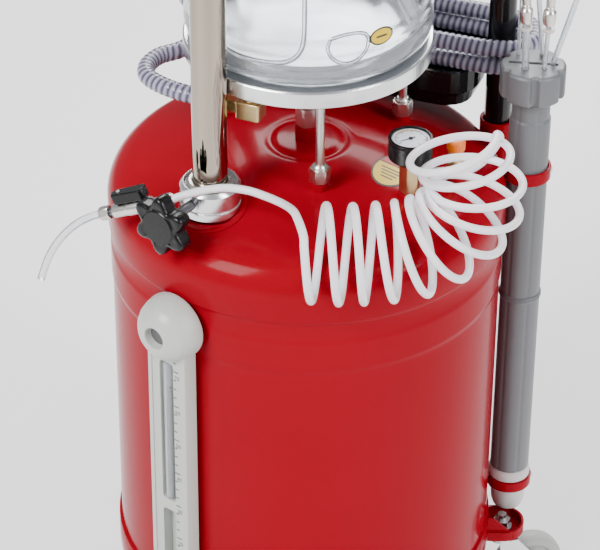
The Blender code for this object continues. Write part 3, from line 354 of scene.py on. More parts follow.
def turned(name, profile, material, place=(0, 0, 0), direction=UP, sides=64, body="frame", soft=0.0006,
           shape=None):
    """A lathe-turned piece; shape(angle) may scale the radius, as for flutes and knurls."""
    bm = bmesh.new()
    loops = []
    for radius, height in softened(profile, soft):
        if radius < 1e-7:
            loops.append([bm.verts.new((0, 0, height))])
            continue
        grown = [(a, radius * (shape(a) if shape else 1)) for a in circle(sides)]
        loops.append([bm.verts.new((r * cos(a), r * sin(a), height)) for a, r in grown])
    skin(bm, loops, True)
    return finish(bm, name, material, aimed(place, direction), body)


def hexagon(name, across, low, high, material, place, direction=UP, body="frame", phase=0.0):
    """A hexagon nut with chamfered corners: across is its width over flats."""
    flat = across / 2
    corner = flat / cos(pi / 6)
    chamfer = 0.07 * across
    bm = bmesh.new()
    loops = []
    for limit, height in [(corner * 0.93, low), (corner, low + chamfer), (corner, high - chamfer),
                          (corner * 0.93, high)]:
        reached = [(a + phase, min(flat / cos(a % (pi / 3) - pi / 6), limit)) for a in circle(48)]
        loops.append([bm.verts.new((r * cos(a), r * sin(a), height)) for a, r in reached])
    skin(bm, loops)
    close(bm, loops)
    return finish(bm, name, material, aimed(place, direction), body, 28)


def lofted(name, outlines, material, place=IN_PLACE, body="frame", bevel=0.0, angle=35):
    """A closed surface through (outline, height) pairs."""
    bm = bmesh.new()
    loops = [[bm.verts.new((x, y, height)) for x, y in outline] for outline, height in outlines]
    skin(bm, loops)
    close(bm, loops)
    return finish(bm, name, material, place, body, angle, bevel)


def slab(name, outline, low, high, material, place=IN_PLACE, body="frame", bevel=0.0008):
    """A flat outline raised from low to high, with its edges rounded."""
    return lofted(name, [(outline, low), (outline, high)], material, place, body, bevel, 40)


def rounded_box(half_x, half_y, corner, middle_y=0.0):
    steps = 8
    points = []
    for quarter, (sx, sy) in enumerate([(1, 1), (-1, 1), (-1, -1), (1, -1)]):
        for k in range(steps + 1):
            a = pi / 2 * (quarter + k / steps)
            points.append((sx * (half_x - corner) + corner * cos(a),
                           sy * (half_y - corner) + corner * sin(a) + middle_y))
    return points


def carve(piece, cutters):
    """Cuts shapes out of a piece and removes the cutters."""
    for cutter in cutters:
        step = piece.modifiers.new("cut", "BOOLEAN")
        step.operation = "DIFFERENCE"
        step.solver = "EXACT"
        step.object = cutter
        if piece.modifiers[0].type == "BEVEL":
            piece.modifiers.move(len(piece.modifiers) - 1, len(piece.modifiers) - 2)
    bpy.context.view_layer.update()
    made = bpy.data.meshes.new_from_object(piece.evaluated_get(bpy.context.evaluated_depsgraph_get()))
    made.set_sharp_from_angle(angle=radians(35))
    piece.modifiers.clear()
    piece.data = made
    for cutter in cutters:
        bpy.data.objects.remove(cutter)


def length_of(points):
    return sum((q - p).length for p, q in zip(points, points[1:]))


def smooth_points(route, spacing):
    """Points about spacing apart on a Catmull-Rom curve through the route."""
    route = [Vector(p) for p in route]
    route = [2 * route[0] - route[1], *route, 2 * route[-1] - route[-2]]
    dense = []
    for a, b, c, d in zip(route, route[1:], route[2:], route[3:]):
        for k in range(24):
            t = k / 24
            dense.append(0.5 * (2 * b + (c - a) * t + (2 * a - 5 * b + 4 * c - d) * t**2
                                + (3 * b - 3 * c + d - a) * t**3))
    dense.append(route[-2])
    total = length_of(dense)
    count = max(2, round(total / spacing))
    kept, walked, target = [dense[0]], 0.0, total / count
    for p, q in zip(dense, dense[1:]):
        step = (q - p).length
        while len(kept) < count and walked + step >= target * len(kept):
            kept.append(p.lerp(q, (target * len(kept) - walked) / step))
        walked += step
    kept.append(dense[-1])
    return kept


def wire(name, points, radius, material, detail=5):
    """A round bar or tube as one open spline with closed ends."""
    data = bpy.data.curves.new(name, "CURVE")
    data.dimensions = "3D"
    data.bevel_depth = radius
    data.bevel_resolution = detail
    data.use_fill_caps = True
    spline = data.splines.new("POLY")
    spline.points.add(len(points) - 1)
    for point, place in zip(spline.points, points):
        point.co = (*place, 1.0)
    spline.use_smooth = True
    data.materials.append(material)
    return put(name, data)


def swept(name, points, radius_at, material, sides=20, mark=None):
    """A mesh tube whose radius follows radius_at(distance, angle); mark fills a point attribute."""
    bm = bmesh.new()
    normal = None
    loops, marks, walked = [], [], 0.0
    for k, here in enumerate(points):
        before, after = points[max(k - 1, 0)], points[min(k + 1, len(points) - 1)]
        along = (after - before).normalized()
        if normal is None:
            normal = along.orthogonal().normalized()
        normal = (normal - along * normal.dot(along)).normalized()
        side = along.cross(normal)
        if k:
            walked += (here - points[k - 1]).length
        loop = []
        for a in circle(sides):
            reach = radius_at(walked, a)
            loop.append(bm.verts.new(here + normal * (reach * cos(a)) + side * (reach * sin(a))))
            marks.append(mark(walked, a) if mark else 0.0)
        loops.append(loop)
    skin(bm, loops)
    close(bm, loops)
    piece = finish(bm, name, material, angle=60)
    if mark:
        layer = piece.data.attributes.new("wire", "FLOAT", "POINT")
        layer.data.foreach_set("value", marks)
    return piece


def flat_sign(name, outline, material, lift, surface):
    """A thin printed patch laid on a surface function, filled from its middle in rings."""
    bm = bmesh.new()
    centre_x = sum(x for x, _ in outline) / len(outline)
    centre_y = sum(y for _, y in outline) / len(outline)
    loops = []
    for step in range(1, 7):
        loops.append([bm.verts.new(surface(centre_x + (x - centre_x) * (step / 6),
                                           centre_y + (y - centre_y) * (step / 6), lift)) for x, y in outline])
    hub = bm.verts.new(surface(centre_x, centre_y, lift))
    for k in range(len(outline)):
        bm.faces.new((hub, loops[0][k], loops[0][(k + 1) % len(outline)]))
    skin(bm, loops)
    return finish(bm, name, material)


def dial_ticks(name, count, inner, outer, halves, heights, face):
    """Marks round a dial over 270 degrees, every fourth one longer and bolder."""
    for k in range(count):
        a = radians(225 - 270 * k / (count - 1))
        kind = 0 if k % 4 == 0 else 1
        side = Vector((-sin(a), cos(a))) * halves[kind]
        start, end = (Vector((cos(a), sin(a))) * reach for reach in (inner[kind], outer))
        corners = [(p.x, p.y) for p in (start - side, end - side, end + side, start + side)]
        slab(f"{name}_{k + 1}", corners, *heights, INK, face, bevel=0)


# ---- cords --------------------------------------------------------------------------------
COIL_CENTRES = mm(
    (29.9, -218.5, 605), (55.8, -217.3, 604), (78.9, -211.3, 603), (101.9, -203.7, 602), (125.6, -191.9, 601),
    (146.9, -171.1, 602), (166.1, -146.8, 607), (174.3, -130, 615), (174.4, -116.3, 629), (162, -123, 658),
    (149.5, -132, 679),
)
COIL_AXES = [
    (0.995, 0.09, 0), (0.995, 0.09, 0), (0.99, 0.10, 0), (0.97, 0.12, 0.12), (0.93, 0.12, 0.32),
    (0.80, 0.10, 0.60), (0.55, 0.12, 0.83), (0.22, 0.14, 0.97), (-0.02, 0.12, 0.99), (-0.20, 0.11, 0.97),
    (-0.30, 0.10, 0.95),
]
RUN_ROUTE = mm(
    (12.5, -218, 645), (6, -200, 640), (-1, -182, 632), (-10, -165.5, 625), (-24, -150, 620), (-43, -140, 619),
    (-65, -138, 619), (-85, -143, 618), (-100, -146.8, 615), (-114.4, -147.8, 608.9),
)
LEAD_ROUTE = mm(
    (145.5, -70.8, 608.5), (151, -70, 608.6), (164, -69, 612), (178, -71, 624), (189, -80, 646),
    (195, -98, 670),
)
TAIL_ROUTE = mm(
    (-189.3, -130.9, 574.8), (-198, -129, 570.5), (-212, -127.5, 561), (-225, -126.5, 548), (-237, -126, 531),
    (-246, -126, 512), (-253, -126, 490),
)
VALVE_FROM = AXIS + Vector((-0.1155, -0.1476, 0.6084))
VALVE_TO = AXIS + Vector((-0.1890, -0.1310, 0.5750))
HOSE_ROUTE = mm(
    (-77.4, -96.1, 681.5), (-95, -95, 681.5), (-118, -89, 681), (-140, -76, 680), (-149, -55, 679),
    (-146, -32, 678), (-133, -13, 677), (-125, 10, 676), (-127, 40, 674), (-140, 75, 671), (-162, 105, 668),
    (-185, 133, 665), (-190, 158, 664.5), (-180, 181, 664.5), (-150, 193, 664.5), (-100, 195, 664),
    (0, 195, 663), (100, 195, 664), (148, 193, 664.5), (178, 181, 664.5), (188, 156, 664.5), (178, 133, 664.5),
    (150, 123, 664.5), (100, 121.5, 664.5), (0, 121.5, 663.5), (-100, 121.5, 664.5), (-150, 122, 659),
    (-180, 131, 650), (-190, 155, 645), (-180, 180, 644.7), (-150, 192, 644.7), (-100, 195, 644.7),
    (0, 195, 644.7), (100, 195, 644.7), (148, 193, 644.7), (178, 181, 644.7), (188, 156, 644.7),
    (178, 133, 644.7), (150, 122, 644.7), (115, 123, 644), (85, 130, 639), (55, 145, 627), (25, 157, 614),
    (-5, 159, 610), (-25, 159, 610),
)
TURN_RADIUS = 0.0455
COIL_START = 35
COIL_STOP = 3785
WIRE_PITCH = 0.0067


def coil_point(turn):
    """A point of the coil: whole turns are counted from the first low point, half a turn in."""
    count = (turn - 180) / 360
    low = min(max(int(count), 0), len(COIL_CENTRES) - 2)
    share = min(max(count - low, 0), 1)
    centre = Vector(COIL_CENTRES[low]).lerp(Vector(COIL_CENTRES[low + 1]), share)
    centre.x += 0.026 * min(count, 0)
    along = Vector(COIL_AXES[low]).lerp(Vector(COIL_AXES[low + 1]), share).normalized()
    front = (FORWARD - along * FORWARD.dot(along)).normalized()
    top = front.cross(along)
    angle = radians(turn)
    return AXIS + centre + top * (TURN_RADIUS * cos(angle)) + front * (TURN_RADIUS * sin(angle))


def coil_path():
    """The whole tube: from the outlet, round the coil's turns from right to left, then to the ball valve."""
    helix = [coil_point(COIL_START + 15 * k) for k in range((COIL_STOP - COIL_START) // 15 + 1)]
    run = [AXIS + Vector(p) for p in reversed(RUN_ROUTE)]
    lead = [AXIS + Vector(p) for p in reversed(LEAD_ROUTE)]
    return list(reversed(smooth_points(run + helix + lead, 0.0042)))


def make_coil():
    points = coil_path()
    tube = stand_for(wire("coiled_tube", points, 0.0040, MILK), "milky_tube", "coil_turns", "coil_run", "coil_lead")
    tuple(points[0])
    round(length_of(points), 3)
    make_bleed_valve()
    points = smooth_points([AXIS + Vector(p) for p in TAIL_ROUTE], 0.003)
    tail = stand_for(swept("bleed_tube", points, lambda walked, angle: 0.0040, CLEAR_TUBE, 24),
                     "clear_plastic", "bleed_tail")
    tuple(points[0])
    round(length_of(points), 3)
    [tuple(p) for p in points]


def make_bleed_valve():
    """Nickel fittings at both ends of a small ball valve with a black lever riding on top."""
    aim = (VALVE_TO - VALVE_FROM).normalized()
    up = (UP - aim * aim.z).normalized()
    side = up.cross(aim)
    length = (VALVE_TO - VALVE_FROM).length

    def fitting(name, profile, material=NICKEL):
        return turned(name, profile, material, VALVE_FROM, aim, 48)

    pieces = [
        hexagon("bleed_inlet_nut", 0.0122, 0.0004, 0.0095, NICKEL, VALVE_FROM, aim),
        fitting("bleed_inlet_neck", rod(5, 9.5, 22.5)),
        fitting("bleed_body", mm((0, 22.5), (7.4, 22.5), (7.8, 25), (7.8, 49), (7, 51), (7, 66), (0, 66))),
        fitting("bleed_outlet_neck", rod(4.6, 66, 71.5), STEEL_DARK),
        hexagon("bleed_outlet_nut", 0.0125, 0.0712, length - 0.0006, NICKEL, VALVE_FROM, aim, phase=0.3),
    ]
    stand_for(pieces[2], "nickel", "bleed_valve_body")
    pivot = VALVE_FROM + aim * 0.043 + up * 0.0113
    outline = mm((16.5, -6), (19, 0), (16.5, 6), (-16, 7.8), (-19, 5), (-19, -5), (-16, -7.8))
    lever = slab("bleed_lever", outline, -0.0026, 0.0084, BLACK, axes(aim, side, up, pivot), "bleed_lever", 0.0012)
    rivet = turned("bleed_rivet", mm((0, 8.4), (2.1, 8.4), (1.7, 9.6), (0, 9.9)), NICKEL, pivot + aim * 0.010, up,
                   24, "bleed_lever")
    boss = turned("bleed_boss", mm((0, 0), (5.2, 0), (5, 2), (3.8, 3.2), (0, 3.6)), BLACK,
                  pivot + aim * 0.0085 - side * 0.0065 + up * 0.002, -side, 32, "bleed_lever")
    return [*pieces, stand_for(lever, "black_plastic", "bleed_valve_lever"), rivet, boss]


def make_hose():
    points = smooth_points([HANDLE_FRAME @ Vector(p) for p in HOSE_ROUTE], 0.0011)

    def wave(walked, angle):
        return 0.5 + 0.5 * cos(2 * pi * walked / WIRE_PITCH + angle)

    # The mark is high on the ridges and low in the grooves, so the grooves take the dark violet: painted shade.
    hose = swept("suction_tube", points, lambda walked, angle: 0.0084 + 0.0006 * wave(walked, angle), HOSE, 16,
                 lambda walked, angle: wave(walked, angle)**1.5)
    stand_for(hose, "clear_hose", "suction_hose")
    coupling = turned("hose_connector", mm(
        (0, 0.6), (10, 0.6), (10, 10), (12.8, 11.2), (12.8, 29), (9, 31), (9, 33), (8.4, 34.5), (9, 36), (9, 54.5),
        (5.5, 55), (5.5, 45), (0, 45)), NICKEL, points[-1], (points[-1] - points[-4]).normalized())
    stand_for(coupling, "nickel", "hose_coupling")
    tuple(points[0])
    round(length_of(points), 3)
    [tuple(p) for p in points]


# ---- tank ---------------------------------------------------------------------------------
FLANGE = 0.026
KNUCKLE = 0.036
CROWN = 0.600
CROWN_CENTRE = FLANGE - sqrt((CROWN - KNUCKLE) ** 2 - (HEAD_RADIUS - KNUCKLE) ** 2)
STAYS = mm((21, -84), (91, 59), (-98, 36))
MAST_AT = (-0.0829, -0.1153)
GAUGE_AT = (0.1085, -0.076)
SAFETY_AT = (0.151, -0.034)


def head_profile(steps_round, steps_crown):
    across = HEAD_RADIUS - KNUCKLE
    tangent = atan2(across, FLANGE - CROWN_CENTRE)
    points = [(HEAD_RADIUS, FLANGE)]
    for k in range(1, steps_round + 1):
        a = (pi / 2 - tangent) * k / steps_round
        points.append((across + KNUCKLE * cos(a), FLANGE + KNUCKLE * sin(a)))
    for k in range(1, steps_crown):
        a = tangent * (1 - k / steps_crown)
        points.append((CROWN * sin(a), CROWN_CENTRE + CROWN * cos(a)))
    return [*points, (0, CROWN_CENTRE + CROWN)]


def dome_relief(x, y):
    """Soft weld flares round the bosses and the pressed ring in the middle of the head."""
    flares = [(MAST_AT, 0.0350, 0.0022), (GAUGE_AT, 0.0105, 0.0014), (SAFETY_AT, 0.0100, 0.0012)]
    flares += [(place, 0.0085, 0.0014) for place in STAYS]
    rise = 0.0006 * sin(9 * x + 2) * sin(11 * y) - 0.0020 * exp(-(((hypot(x, y) - 0.038) / 0.0042) ** 2))
    for (boss_x, boss_y), reach, lift in flares:
        rise += lift * exp(-max(0.0, hypot(x - boss_x, y - boss_y) - reach) / 0.0035)
    return rise


def on_crown(x, y, lift=0.0):
    """A point on the head's plain curve above a place in plan."""
    return at(x, y, CROWN_CENTRE + sqrt(CROWN**2 - hypot(x, y)**2) + lift)


def make_tank():
    base = LOWER_SEAM - SEAM
    outside = [(r, base - 0.004 - h) for r, h in reversed(head_profile(12, 10))]
    outside += [(HEAD_RADIUS, base), (HEAD_RADIUS - 0.0004, base + 0.0010), (SHELL_RADIUS, base + 0.0022)]
    outside += [(SHELL_RADIUS, height) for height in (-0.30, -0.20, -0.10, -0.066)]
    outside += [(SHELL_RADIUS + 0.0013 * min(1.0, 2.6 * sin(pi * k / 16)), -0.064 + 0.042 * k / 16)
                for k in range(17)]
    outside += [(SHELL_RADIUS, -0.0050), (SHELL_RADIUS + 0.0006, -0.0026), (HEAD_RADIUS - 0.0004, -0.0006),
                (HEAD_RADIUS, 0.0008)]
    bm = bmesh.new()
    loops = []
    for radius, height in outside + head_profile(18, 70):
        places = [(radius * cos(a), radius * sin(a)) for a in circle(240 if radius > 1e-6 else 1)]
        lifts = [dome_relief(x, y) if height > FLANGE + 0.03 else 0 for x, y in places]
        loops.append([bm.verts.new((x, y, height + lift)) for (x, y), lift in zip(places, lifts)])
    skin(bm, loops)
    stand_for(finish(bm, "tank_body", RED, Matrix.Translation(above(AXIS, 0))), "red_paint", "tank")

    def boss(name, profile, place, soft=0.0006, sides=64, direction=UP):
        turned(name, profile, RED, place, direction, sides, soft=soft)

    boss("centre_boss", mm((0, -2), (12.5, -2), (12.5, 14), (11.7, 15.7), (0, 15.7)), on_crown(0, 0), 0.0008)
    boss("gauge_boss", rod(10.5, -12, 0), at(*GAUGE_AT, 0.0797), 0.0012)
    boss("safety_boss", rod(10, -14, 0), at(*SAFETY_AT, 0.0747), 0.0012)
    for k, place in enumerate(STAYS):
        boss(f"stay_boss_{k + 1}", rod(8.5, -3, 8.6), on_crown(*place), 0.0010)
    pad = mm((30.5, -10), (36.5, -10), (36.5, 1), (35, 2.2), (30.5, 2.4))
    slope = (on_crown(*MAST_AT) - at(0, 0, CROWN_CENTRE)).normalized()
    boss("mast_pad", pad, on_crown(*MAST_AT), sides=96, direction=slope)
    boss("mast_socket", mm((30.4, 55), (33, 55), (33, 70), (30.4, 70.4)), above(MAST, 0), 0.0012, 96)
    for k, side in enumerate((-1, 1)):
        foot = HANDLE_FRAME @ Vector((side * HANDLE_HALF, HANDLE_OUT, SEAM))
        boss(f"handle_socket_{k + 1}", ring(14.8, 18.5, -85, 55), foot, 0.0010, 72)


def make_mast():
    mast = above(MAST, 0)
    stand_for(turned("mast_chrome", ring(14.9, 17.25, -310, 620), DARK_REFLECTION_CHROME, mast, sides=128, body="mast",
                     soft=0.0005), "chrome", "mast_tube")
    stand_for(turned("mast_collar_ring", mm(
        (18, 71.2), (29, 71.2), (30, 72.2), (30, 80), (28.8, 80.6), (28.8, 82), (30, 82.6), (30, 98.5), (27, 102.8),
        (26.2, 102.8), (25.6, 99), (18, 99)), ALUMINIUM, mast, sides=128, soft=0.0004), "aluminium", "mast_collar")
    stand_for(turned("mast_bush_ring", mm(
        (17.6, 99.1), (25, 99.1), (25, 99.8), (23.2, 100), (23.2, 102), (21.2, 104), (17.6, 104)), NICKEL, mast,
        sides=96), "brass", "mast_bush")


def make_knob():
    """A six-lobed clamp knob with rounded lobes, a dished face and a ribbed edge."""
    centre = above(MAST, 0.0885)
    outward = facing(KNOB_TURN)
    layers = [(0.60, 0.0640), (0.90, 0.0640), (0.965, 0.0646), (0.995, 0.0662), (1.0, 0.0685), (1.0, 0.0760),
              (0.990, 0.0782), (0.955, 0.0797), (0.88, 0.0805), (0.74, 0.0806), (0.66, 0.0798), (0.62, 0.0800),
              (0.58, 0.0818), (0.30, 0.0820)]

    def outline(grow, height):
        for a in circle(144):
            lobe = cos(6 * a)
            reach = 0.0272 + 0.0046 * (lobe if lobe > 0 else 1.15 * lobe) if grow > 0.7 else 0.0300
            if 0.0660 < height < 0.0770:
                reach += 0.00022 * cos(72 * a)
            yield reach * grow * cos(a), reach * grow * sin(a)

    outlines = [(list(outline(grow, height)), height) for grow, height in layers]
    stand_for(lofted("clamp_knob_grip", outlines, BLACK, aimed(centre, outward), "knob", angle=50),
              "black_plastic", "clamp_knob")
    turned("clamp_knob_hub", mm((0, 54.5), (10, 54.5), (11, 56), (12, 65), (0, 65)), BLACK, centre, outward,
           body="knob")
    threads = [(5 - 0.6 * (k % 2), 30.5 + 0.75 * k) for k in range(33)]
    turned("clamp_knob_screw", mm((0, 30.5), *threads, (0, 55.2)), STEEL_DARK, centre, outward, 32, "knob", 0.0001)


# ---- gauges and small valves --------------------------------------------------------------
def make_pressure_gauge():
    stand_for(hexagon("gauge_hex", 0.0184, 0.0805, 0.1175, BRASS, above(GAUGE, 0), phase=0.35),
              "brass", "gauge_stem")
    base = above(GAUGE, 0.1183)
    rib = ((0, 0), (0.3, 0.4), (0.3, 0.8), (0, 1.1))
    ribs = [(21.5 + out, 2.2 + 1.3 * k + rise) for k in range(13) for out, rise in rib]
    stand_for(turned("gauge_case", mm(
        (0, 0), (20, 0), (21.5, 1.4), *ribs, (22, 19.6), (22, 22.4), (21, 23.2), (19.2, 23.2), (19, 20.5), (0, 20.5)),
        BLACK, base, sides=96, soft=0.0002), "black_plastic", "pressure_gauge")
    turned("gauge_dial", rod(18.8, 20.5, 21.1), DIAL, base, sides=72, soft=0.0001)
    face = Matrix.Translation(base)
    printed = (0.0210, 0.02125)
    for name, start, stop, inner, outer, material in (
            ("gauge_arc_black", 225, -45, 0.0150, 0.0153, INK), ("gauge_arc_red", 20, -45, 0.0156, 0.0168, MARK_RED),
            ("gauge_arc_green", 150, 60, 0.0156, 0.0164, MARK_YELLOW)):
        turns = [radians(start + (stop - start) * k / 20) for k in range(21)]
        arc = [(outer * cos(a), outer * sin(a)) for a in turns]
        arc += [(inner * cos(a), inner * sin(a)) for a in reversed(turns)]
        slab(name, arc, *printed, material, face, bevel=0)
    dial_ticks("gauge_tick", 25, (0.0118, 0.0136), 0.0150, (0.00032, 0.00018), printed, face)
    turn = radians(215)
    along, side = Vector((cos(turn), sin(turn))), Vector((-sin(turn), cos(turn)))
    needle = [along * x + side * y for x, y in mm((-5, -0.7), (12.5, -0.2), (12.5, 0.2), (-5, 0.7))]
    slab("gauge_needle", [(p.x, p.y) for p in needle], 0.0216, 0.0219, INK, face, bevel=0)
    turned("gauge_hub", mm((0, 21.1), (2.2, 21.1), (2, 22.4), (0, 22.6)), INK, base, sides=24, soft=0.0002)
    aim = Vector((cos(radians(8)), sin(radians(8)), 0))
    root = above(GAUGE, 0.0985)
    turned("gauge_outlet", rod(5.8, 8, 22.5), BRASS, root, aim, 40)
    hexagon("gauge_outlet_nut", 0.0128, 0.0215, 0.0355, NICKEL, root, aim)
    turned("gauge_outlet_lip", mm((4.1, 35.5), (5.6, 35.5), (5.6, 37.2), (4.1, 37.6)), NICKEL, root, aim, 40,
           soft=0.0003)


def make_safety_valve():
    base = above(SAFETY, 0.0750)
    stand_for(turned("safety_body", mm(
        (0, 0), (7.5, 0), (7.5, 4), (9, 5), (9, 16), (7.5, 18), (7.5, 28.5), (0, 28.5)), BRASS, base, sides=48),
        "brass", "safety_valve_body")
    stand_for(turned("safety_cap_shell", mm(
        (0, 29.3), (8.6, 29.3), (9.2, 30.6), (9.2, 39), (7.6, 41.2), (3, 41.8), (0, 41.8)), AMBER, base, sides=72,
        body="safety_cap", shape=lambda a: 1 + 0.012 * cos(18 * a)), "amber_plastic", "safety_valve_cap")


def make_sign():
    """A printed patch on the head, left of the gauge: red over yellow in a black edge, with plain bars."""
    def outline(grow, top, bottom):
        turns = [-pi / 2 + 2 * pi * k / 48 for k in range(49)]
        return [(0.0200 * grow * cos(a), min(max(0.0290 * grow * sin(a), bottom), top)) for a in turns]

    turn = radians(-22)

    def surface(x, y, lift):
        across = 0.0900 + x * cos(turn) - y * sin(turn)
        back = -0.0400 + x * sin(turn) + y * cos(turn)
        return on_crown(across, back, dome_relief(across, back) + lift)

    flat_sign("sign_edge", outline(1.0, 1, -1), INK, 0.0003, surface)
    flat_sign("sign_lower", outline(0.92, 0.0060, -1), MARK_YELLOW, 0.0005, surface)
    flat_sign("sign_upper", outline(0.92, 1, 0.0072), MARK_RED, 0.0005, surface)
    for k in range(4):
        y, half = -0.0015 - 0.0048 * k, 0.0125 - 0.0020 * k
        bar = [(-half, y), (half, y), (half, y + 0.0016), (-half, y + 0.0016)]
        flat_sign(f"sign_bar_{k + 1}", bar, INK, 0.0007, surface)


# the middle height and half length of each window, and how far out the moulding's front and back lie
WINDOWS = ((-0.155, 0.087), (-0.292, 0.037))
LEVEL_BACK = 0.2036
LEVEL_FRONT = 0.2225
LEVEL_CLEAR = 0.2300


def make_level_gauge():
    """A moulded frame with a round domed head, a sight tube behind a window, and a printed scale."""
    outward = facing(LEVEL_TURN)
    panel = axes(Vector((cos(LEVEL_TURN), sin(LEVEL_TURN), 0)), UP, outward, above(AXIS, 0))
    low, top = -0.352, -0.030
    half, centre = (top - low) / 2, (low + top) / 2

    def flat(name, outline, back, front, material=PALE, bevel=0.0):
        return slab(name, outline, back, front, material, panel, bevel=bevel)

    outline = rounded_box(0.0240, half, 0.010, centre)
    frame_piece = flat("level_frame", outline, LEVEL_BACK, LEVEL_FRONT, bevel=0.0022)
    holes = [(rounded_box(0.0085, tall, 0.004, y), LEVEL_BACK + 0.0049) for y, tall in WINDOWS]
    holes.append((rounded_box(0.0185, half - 0.0055, 0.006, centre), LEVEL_FRONT - 0.0009))
    carve(frame_piece, [flat("window_cutter", hole, back, LEVEL_CLEAR) for hole, back in holes])
    stand_for(frame_piece, "pale_plastic", "level_gauge_frame")
    turned("level_head", mm(
        (0, 204.6), (34.5, 204.6), (35, 206.6), (35, 210), (34.2, 216), (32.2, 223.5), (28.5, 230.5), (24, 235.2),
        (19, 238.2), (14, 239.4), (11.8, 239), (11.3, 237.5), (10.8, 231.2), (4.5, 230), (0, 230)), PALE,
        at(0, 0, top), outward, 112, soft=0.0010)
    turned("level_socket", mm((0, 230.1), (4.4, 230.1), (4.4, 230.4), (5, 230.4), (5, 231), (10, 231.4), (10, 231.6),
                              (0, 231.6)), MARK_GREY, at(0, 0, top), outward, soft=0)
    tube_middle = panel @ Vector((-0.0015, -0.155, 0.2160))
    stand_for(turned("level_tube", ring(4, 6, -86, 86), CLEAR_TUBE, tube_middle, sides=40),
              "clear_plastic", "level_gauge_tube")
    turned("level_float", rod(3.6, -86, 50), LEVEL_OIL, tube_middle, sides=24)
    for k, (y, tall) in enumerate(WINDOWS):
        flat(f"level_back_{k + 1}", rounded_box(0.0083, tall - 0.0004, 0.0038, y), 0.2086, 0.2092)
    for k in range(27):
        y, inner = -0.330 + 0.0106 * k, 0.0092
        outer = inner + (0.0036 if k % 4 else 0.0062)
        mark = [(inner, y), (outer, y), (outer, y + 0.0011), (inner, y + 0.0011)]
        flat(f"level_mark_{k + 1}", mark, 0.2214, 0.2219, MARK_GREY)
    for k in range(7):
        data = bpy.data.curves.new(f"level_number_{k + 1}", "FONT")
        data.body = f"{k + 1}0"
        data.size = 0.0072
        data.extrude = 0.0002
        data.align_x = "CENTER"
        data.materials.append(MARK_GREY)
        place = Matrix.Translation((0.0138, -0.3385 + 0.0424 * k, 0.2216)) @ Matrix.Scale(0.92, 4)
        put(data.name, data, place=panel @ place)


# ---- inspection chamber -------------------------------------------------------------------
PLATE_LOW = 0.193
PLATE_HIGH = 0.211
JAR_HIGH = 0.440
LID_HIGH = 0.456
GAP = 0.0003
JAR_RADIUS = 0.1226


def make_chamber():
    for name, height, profile, node in (
            ("chamber_base", PLATE_LOW, mm((0, 0), (122.2, 0), (123.5, 1.2), (123.5, 16.4), (122, 18), (116.5, 18),
                                           (0, 18)), "chamber_plate"),
            ("chamber_top", JAR_HIGH + GAP, mm((0, 0), (122.6, 0), (123.8, 1.2), (123.8, 14.1), (122.2, 15.7),
                                               (0, 15.7)), "chamber_lid")):
        stand_for(turned(name, profile, ALUMINIUM, above(AXIS, height), sides=200, soft=0.0003), "aluminium", node)
    for k, (x, y) in enumerate(STAYS):
        foot = on_crown(x, y, 0.0090)
        tall = 1000 * (SEAM + PLATE_LOW - foot.z)
        stand_for(turned(f"stay_rod_{k + 1}", rod(4.4, 0, tall - 0.3), NICKEL, foot, sides=32),
                  "nickel", f"chamber_stay_{k + 1}")
        hexagon(f"stay_nut_{k + 1}", 0.0182, 0.0002, 0.0150, NICKEL, foot, phase=0.2 + k)
        turned(f"stay_lock_{k + 1}", mm((4.5, 15), (7.8, 15), (7.4, 17.2), (5.8, 19.2), (4.5, 19.5)), NICKEL, foot,
               sides=40, soft=0.0004)
        turned(f"stay_cap_{k + 1}", ring(4.6, 7, tall - 10.5, tall - 0.5), NICKEL, foot, sides=40)


